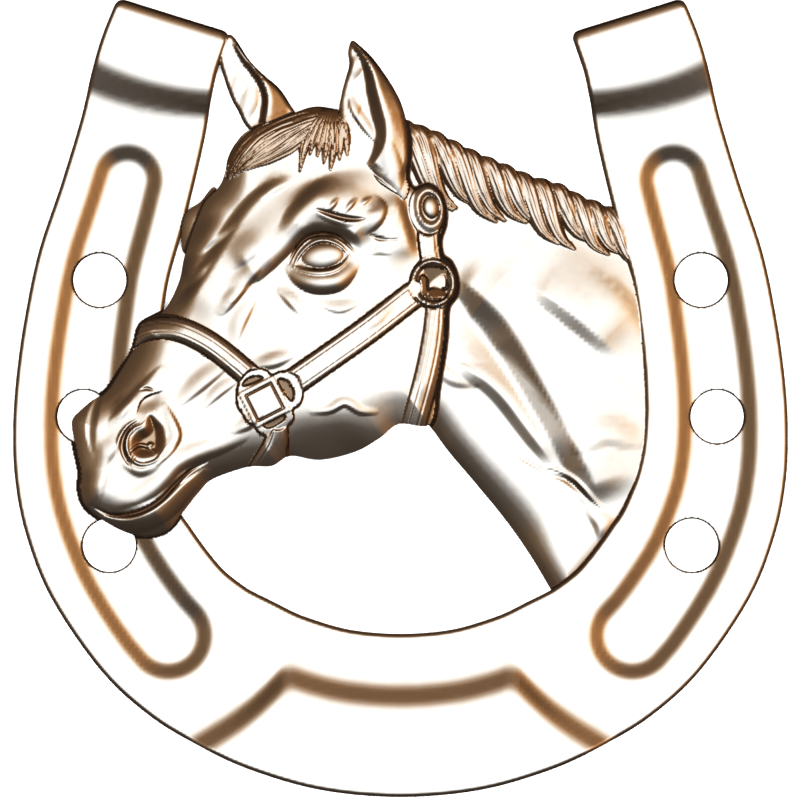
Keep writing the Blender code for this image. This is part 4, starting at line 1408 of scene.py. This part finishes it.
# %% The finish
along_y = graph.value("ShaderNodeMapping", {}, {"Vector": place, "Scale": (1.0, 0.03, 1.0)})
scratch = graph.value("ShaderNodeTexNoise", {}, {"Vector": along_y, "Scale": 5200.0, "Detail": 2.0})
bright = graph.mix(mottle.between(0.42, 0.62), POLISHED + (1.0,), WORN + (1.0,))
# The darkest colour goes on the steepest places: painted shade over a patina.
skin_and_shade = graph.mix(steep, PATINA_AND_SHADE + (1.0,), CAST_SKIN_AND_SHADE + (1.0,))
# A warm half tone eases from bright metal into the painted shade.
thin = graph.mix(dark.between(0.0, 0.3), bright, TARNISH_AND_HALF_SHADE + (1.0,))
colour = graph.mix(dark.between(0.3, 0.65), thin, skin_and_shade)
relief_height = grain * (0.35 + dark * 1.4) + scratch * 0.5
bump = graph.value("ShaderNodeBump", {}, {"Strength": 0.12, "Distance": 0.00003, "Height": relief_height})
shader = graph.node("ShaderNodeBsdfPrincipled", {}, {
    "Base Color": colour,
    "Metallic": 1.0 - dark.between(0.6, 1.0) * 0.75,
    "Roughness": ROUGHNESS + dark * DARK_ROUGHNESS + (mottle - 0.5) * 0.10 + (scratch - 0.5) * 0.06,
    "Normal": bump,
})
output = graph.node("ShaderNodeOutputMaterial")
metal.node_tree.links.new(shader.outputs[0], output.inputs["Surface"])

brass = bpy.data.objects.new("horse_brass_relief", sheet)
bpy.context.scene.collection.objects.link(brass)
sheet.materials.append(metal)
brass.visible_glossy = False
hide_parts("horse_brass")
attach(brass, "root")
print("the finish has", len(metal.node_tree.nodes), "nodes")
# %% [markdown]
# ## The studio
# Polished metal shows the room and little else. A relief is lit so that flats mirror a white ceiling,
# slopes to the right pick up a warm card, slopes to the left and top a browner one, and slopes towards the
# reader a dark one. The room is a sky made of four ramps, one for each way a slope can face, over how high
# it looks: a slope mirrors the sky at twice its own angle, so the height there is the cosine squared of the
# slope. A slope that faces between two sides gets a blend of their ramps. Towards the lower left the near
# side takes more of it.

# %% What each side of the room looks like
SLOPES = (90.0, 50.0, 36.0, 27.0, 20.0, 14.0, 8.0, 0.0)
RIGHT_SIDE = (
    (44, 33, 26), (72, 50, 34), (118, 80, 48), (184, 130, 80), (236, 204, 166), (250, 240, 228),
    (254, 253, 251), (255, 255, 255),
)
LEFT_SIDE = (
    (40, 31, 25), (58, 44, 34), (84, 64, 46), (120, 95, 70), (174, 156, 136), (230, 224, 216),
    (252, 251, 249), (255, 255, 255),
)
TOP_SIDE = (
    (40, 31, 25), (58, 44, 33), (84, 62, 44), (118, 90, 65), (172, 148, 126), (228, 217, 205),
    (252, 250, 247), (255, 255, 255),
)
NEAR_SIDE = (
    (36, 29, 24), (46, 38, 32), (56, 48, 41), (76, 69, 62), (132, 128, 124), (200, 199, 197),
    (246, 246, 246), (255, 255, 255),
)
SKY_STRENGTH = 1.25


def sky_ramp(graph, height, side):
    places = [math.cos(math.radians(slope)) ** 2 for slope in SLOPES]
    return graph.ramp(height, [(place, lit(*colour)) for place, colour in zip(places, side)])


world = bpy.data.worlds.new("studio")
bpy.context.scene.world = world
world.use_nodes = True
sky = Graph(world.node_tree)
direction = sky.value("ShaderNodeTexCoord", output="Generated")
x, y, z = (sky.value("ShaderNodeSeparateXYZ", {}, {0: direction}, output=k) for k in range(3))
height = z * 0.5 + 0.5
flat = (x * x + y * y).larger(1e-6)
right = x.larger(0.0)
left = (0.0 - x).larger(0.0)
top = y.larger(0.0)
rightwards = right * right / (x * x).larger(1e-9)
across = sky.mix(rightwards, sky_ramp(sky, height, LEFT_SIDE), sky_ramp(sky, height, RIGHT_SIDE))
upwards = top * top / (y * y).larger(1e-9)
upright = sky.mix(upwards, sky_ramp(sky, height, NEAR_SIDE), sky_ramp(sky, height, TOP_SIDE))
turned = y * y / flat
pull = turned * (1.0 + (1.0 - upwards) * (0.9 - rightwards * 0.7))
room = sky.mix(pull, across, upright)
seen = sky.value("ShaderNodeLightPath", output="Is Camera Ray")
shown = sky.mix(seen, room, (0.93, 0.93, 0.93, 1.0))
background = sky.node("ShaderNodeBackground", {}, {"Color": shown, "Strength": SKY_STRENGTH})
world_output = sky.node("ShaderNodeOutputWorld")
world.node_tree.links.new(background.outputs[0], world_output.inputs["Surface"])
print("the room has", len(world.node_tree.nodes), "nodes")

# %% [markdown]
# A wide soft light overhead whitens the floor and leaves almost no shadow. The metal already mirrors the
# ceiling of the room, so the light is kept out of its reflections.

# %% Overhead light and floor
light_data = bpy.data.lights.new("overhead", "AREA")
light_data.shape = "SQUARE"
light_data.size = 0.6
light_data.energy = 90.0
overhead = bpy.data.objects.new("overhead", light_data)
overhead.location = (0, 0, 1.6)
overhead.visible_glossy = False
overhead.visible_camera = False
bpy.context.scene.collection.objects.link(overhead)

floor_mesh = bpy.data.meshes.new("floor")
SIDE = 3.0
floor_mesh.from_pydata([(-SIDE, -SIDE, 0), (SIDE, -SIDE, 0), (SIDE, SIDE, 0), (-SIDE, SIDE, 0)], [],
                       [(0, 1, 2, 3)])
floor = bpy.data.objects.new("floor", floor_mesh)
floor.location = (0, 0, -0.0002)
floor.visible_glossy = False
bpy.context.scene.collection.objects.link(floor)
paint = bpy.data.materials.new("floor_paint")
paint.use_nodes = True
paint_shader = paint.node_tree.nodes["Principled BSDF"]
paint_shader.inputs["Base Color"].default_value = (0.9, 0.9, 0.9, 1)
paint_shader.inputs["Roughness"].default_value = 0.9
floor_mesh.materials.append(paint)
print("the floor is", 2 * SIDE, "m wide")

# %% [markdown]
# ## The camera
# The brass is seen squarely from above, as a drawing of it would be, so the lens is long and far away. The
# film's width takes in 800 drawing units, a little more than the casting.

# %% Straight down
LENS = 1000.0
FILM = 36.0
SEEN = 800 * UNIT
lens = bpy.data.cameras.new("camera")
lens.lens = LENS
lens.sensor_width = FILM
lens.clip_end = 20.0
camera = bpy.data.objects.new("camera", lens)
away = SEEN * LENS / FILM + PLATE
camera.location = ((400.0 - DRAWN_MIDDLE) * ACROSS, (DRAWN_HEIGHT / 2 - 400.0) * UNIT, away)
bpy.context.scene.collection.objects.link(camera)
bpy.context.scene.camera = camera
bpy.context.scene.view_settings.view_transform = "Standard"
print("the camera is", round(away, 2), "m above the brass")
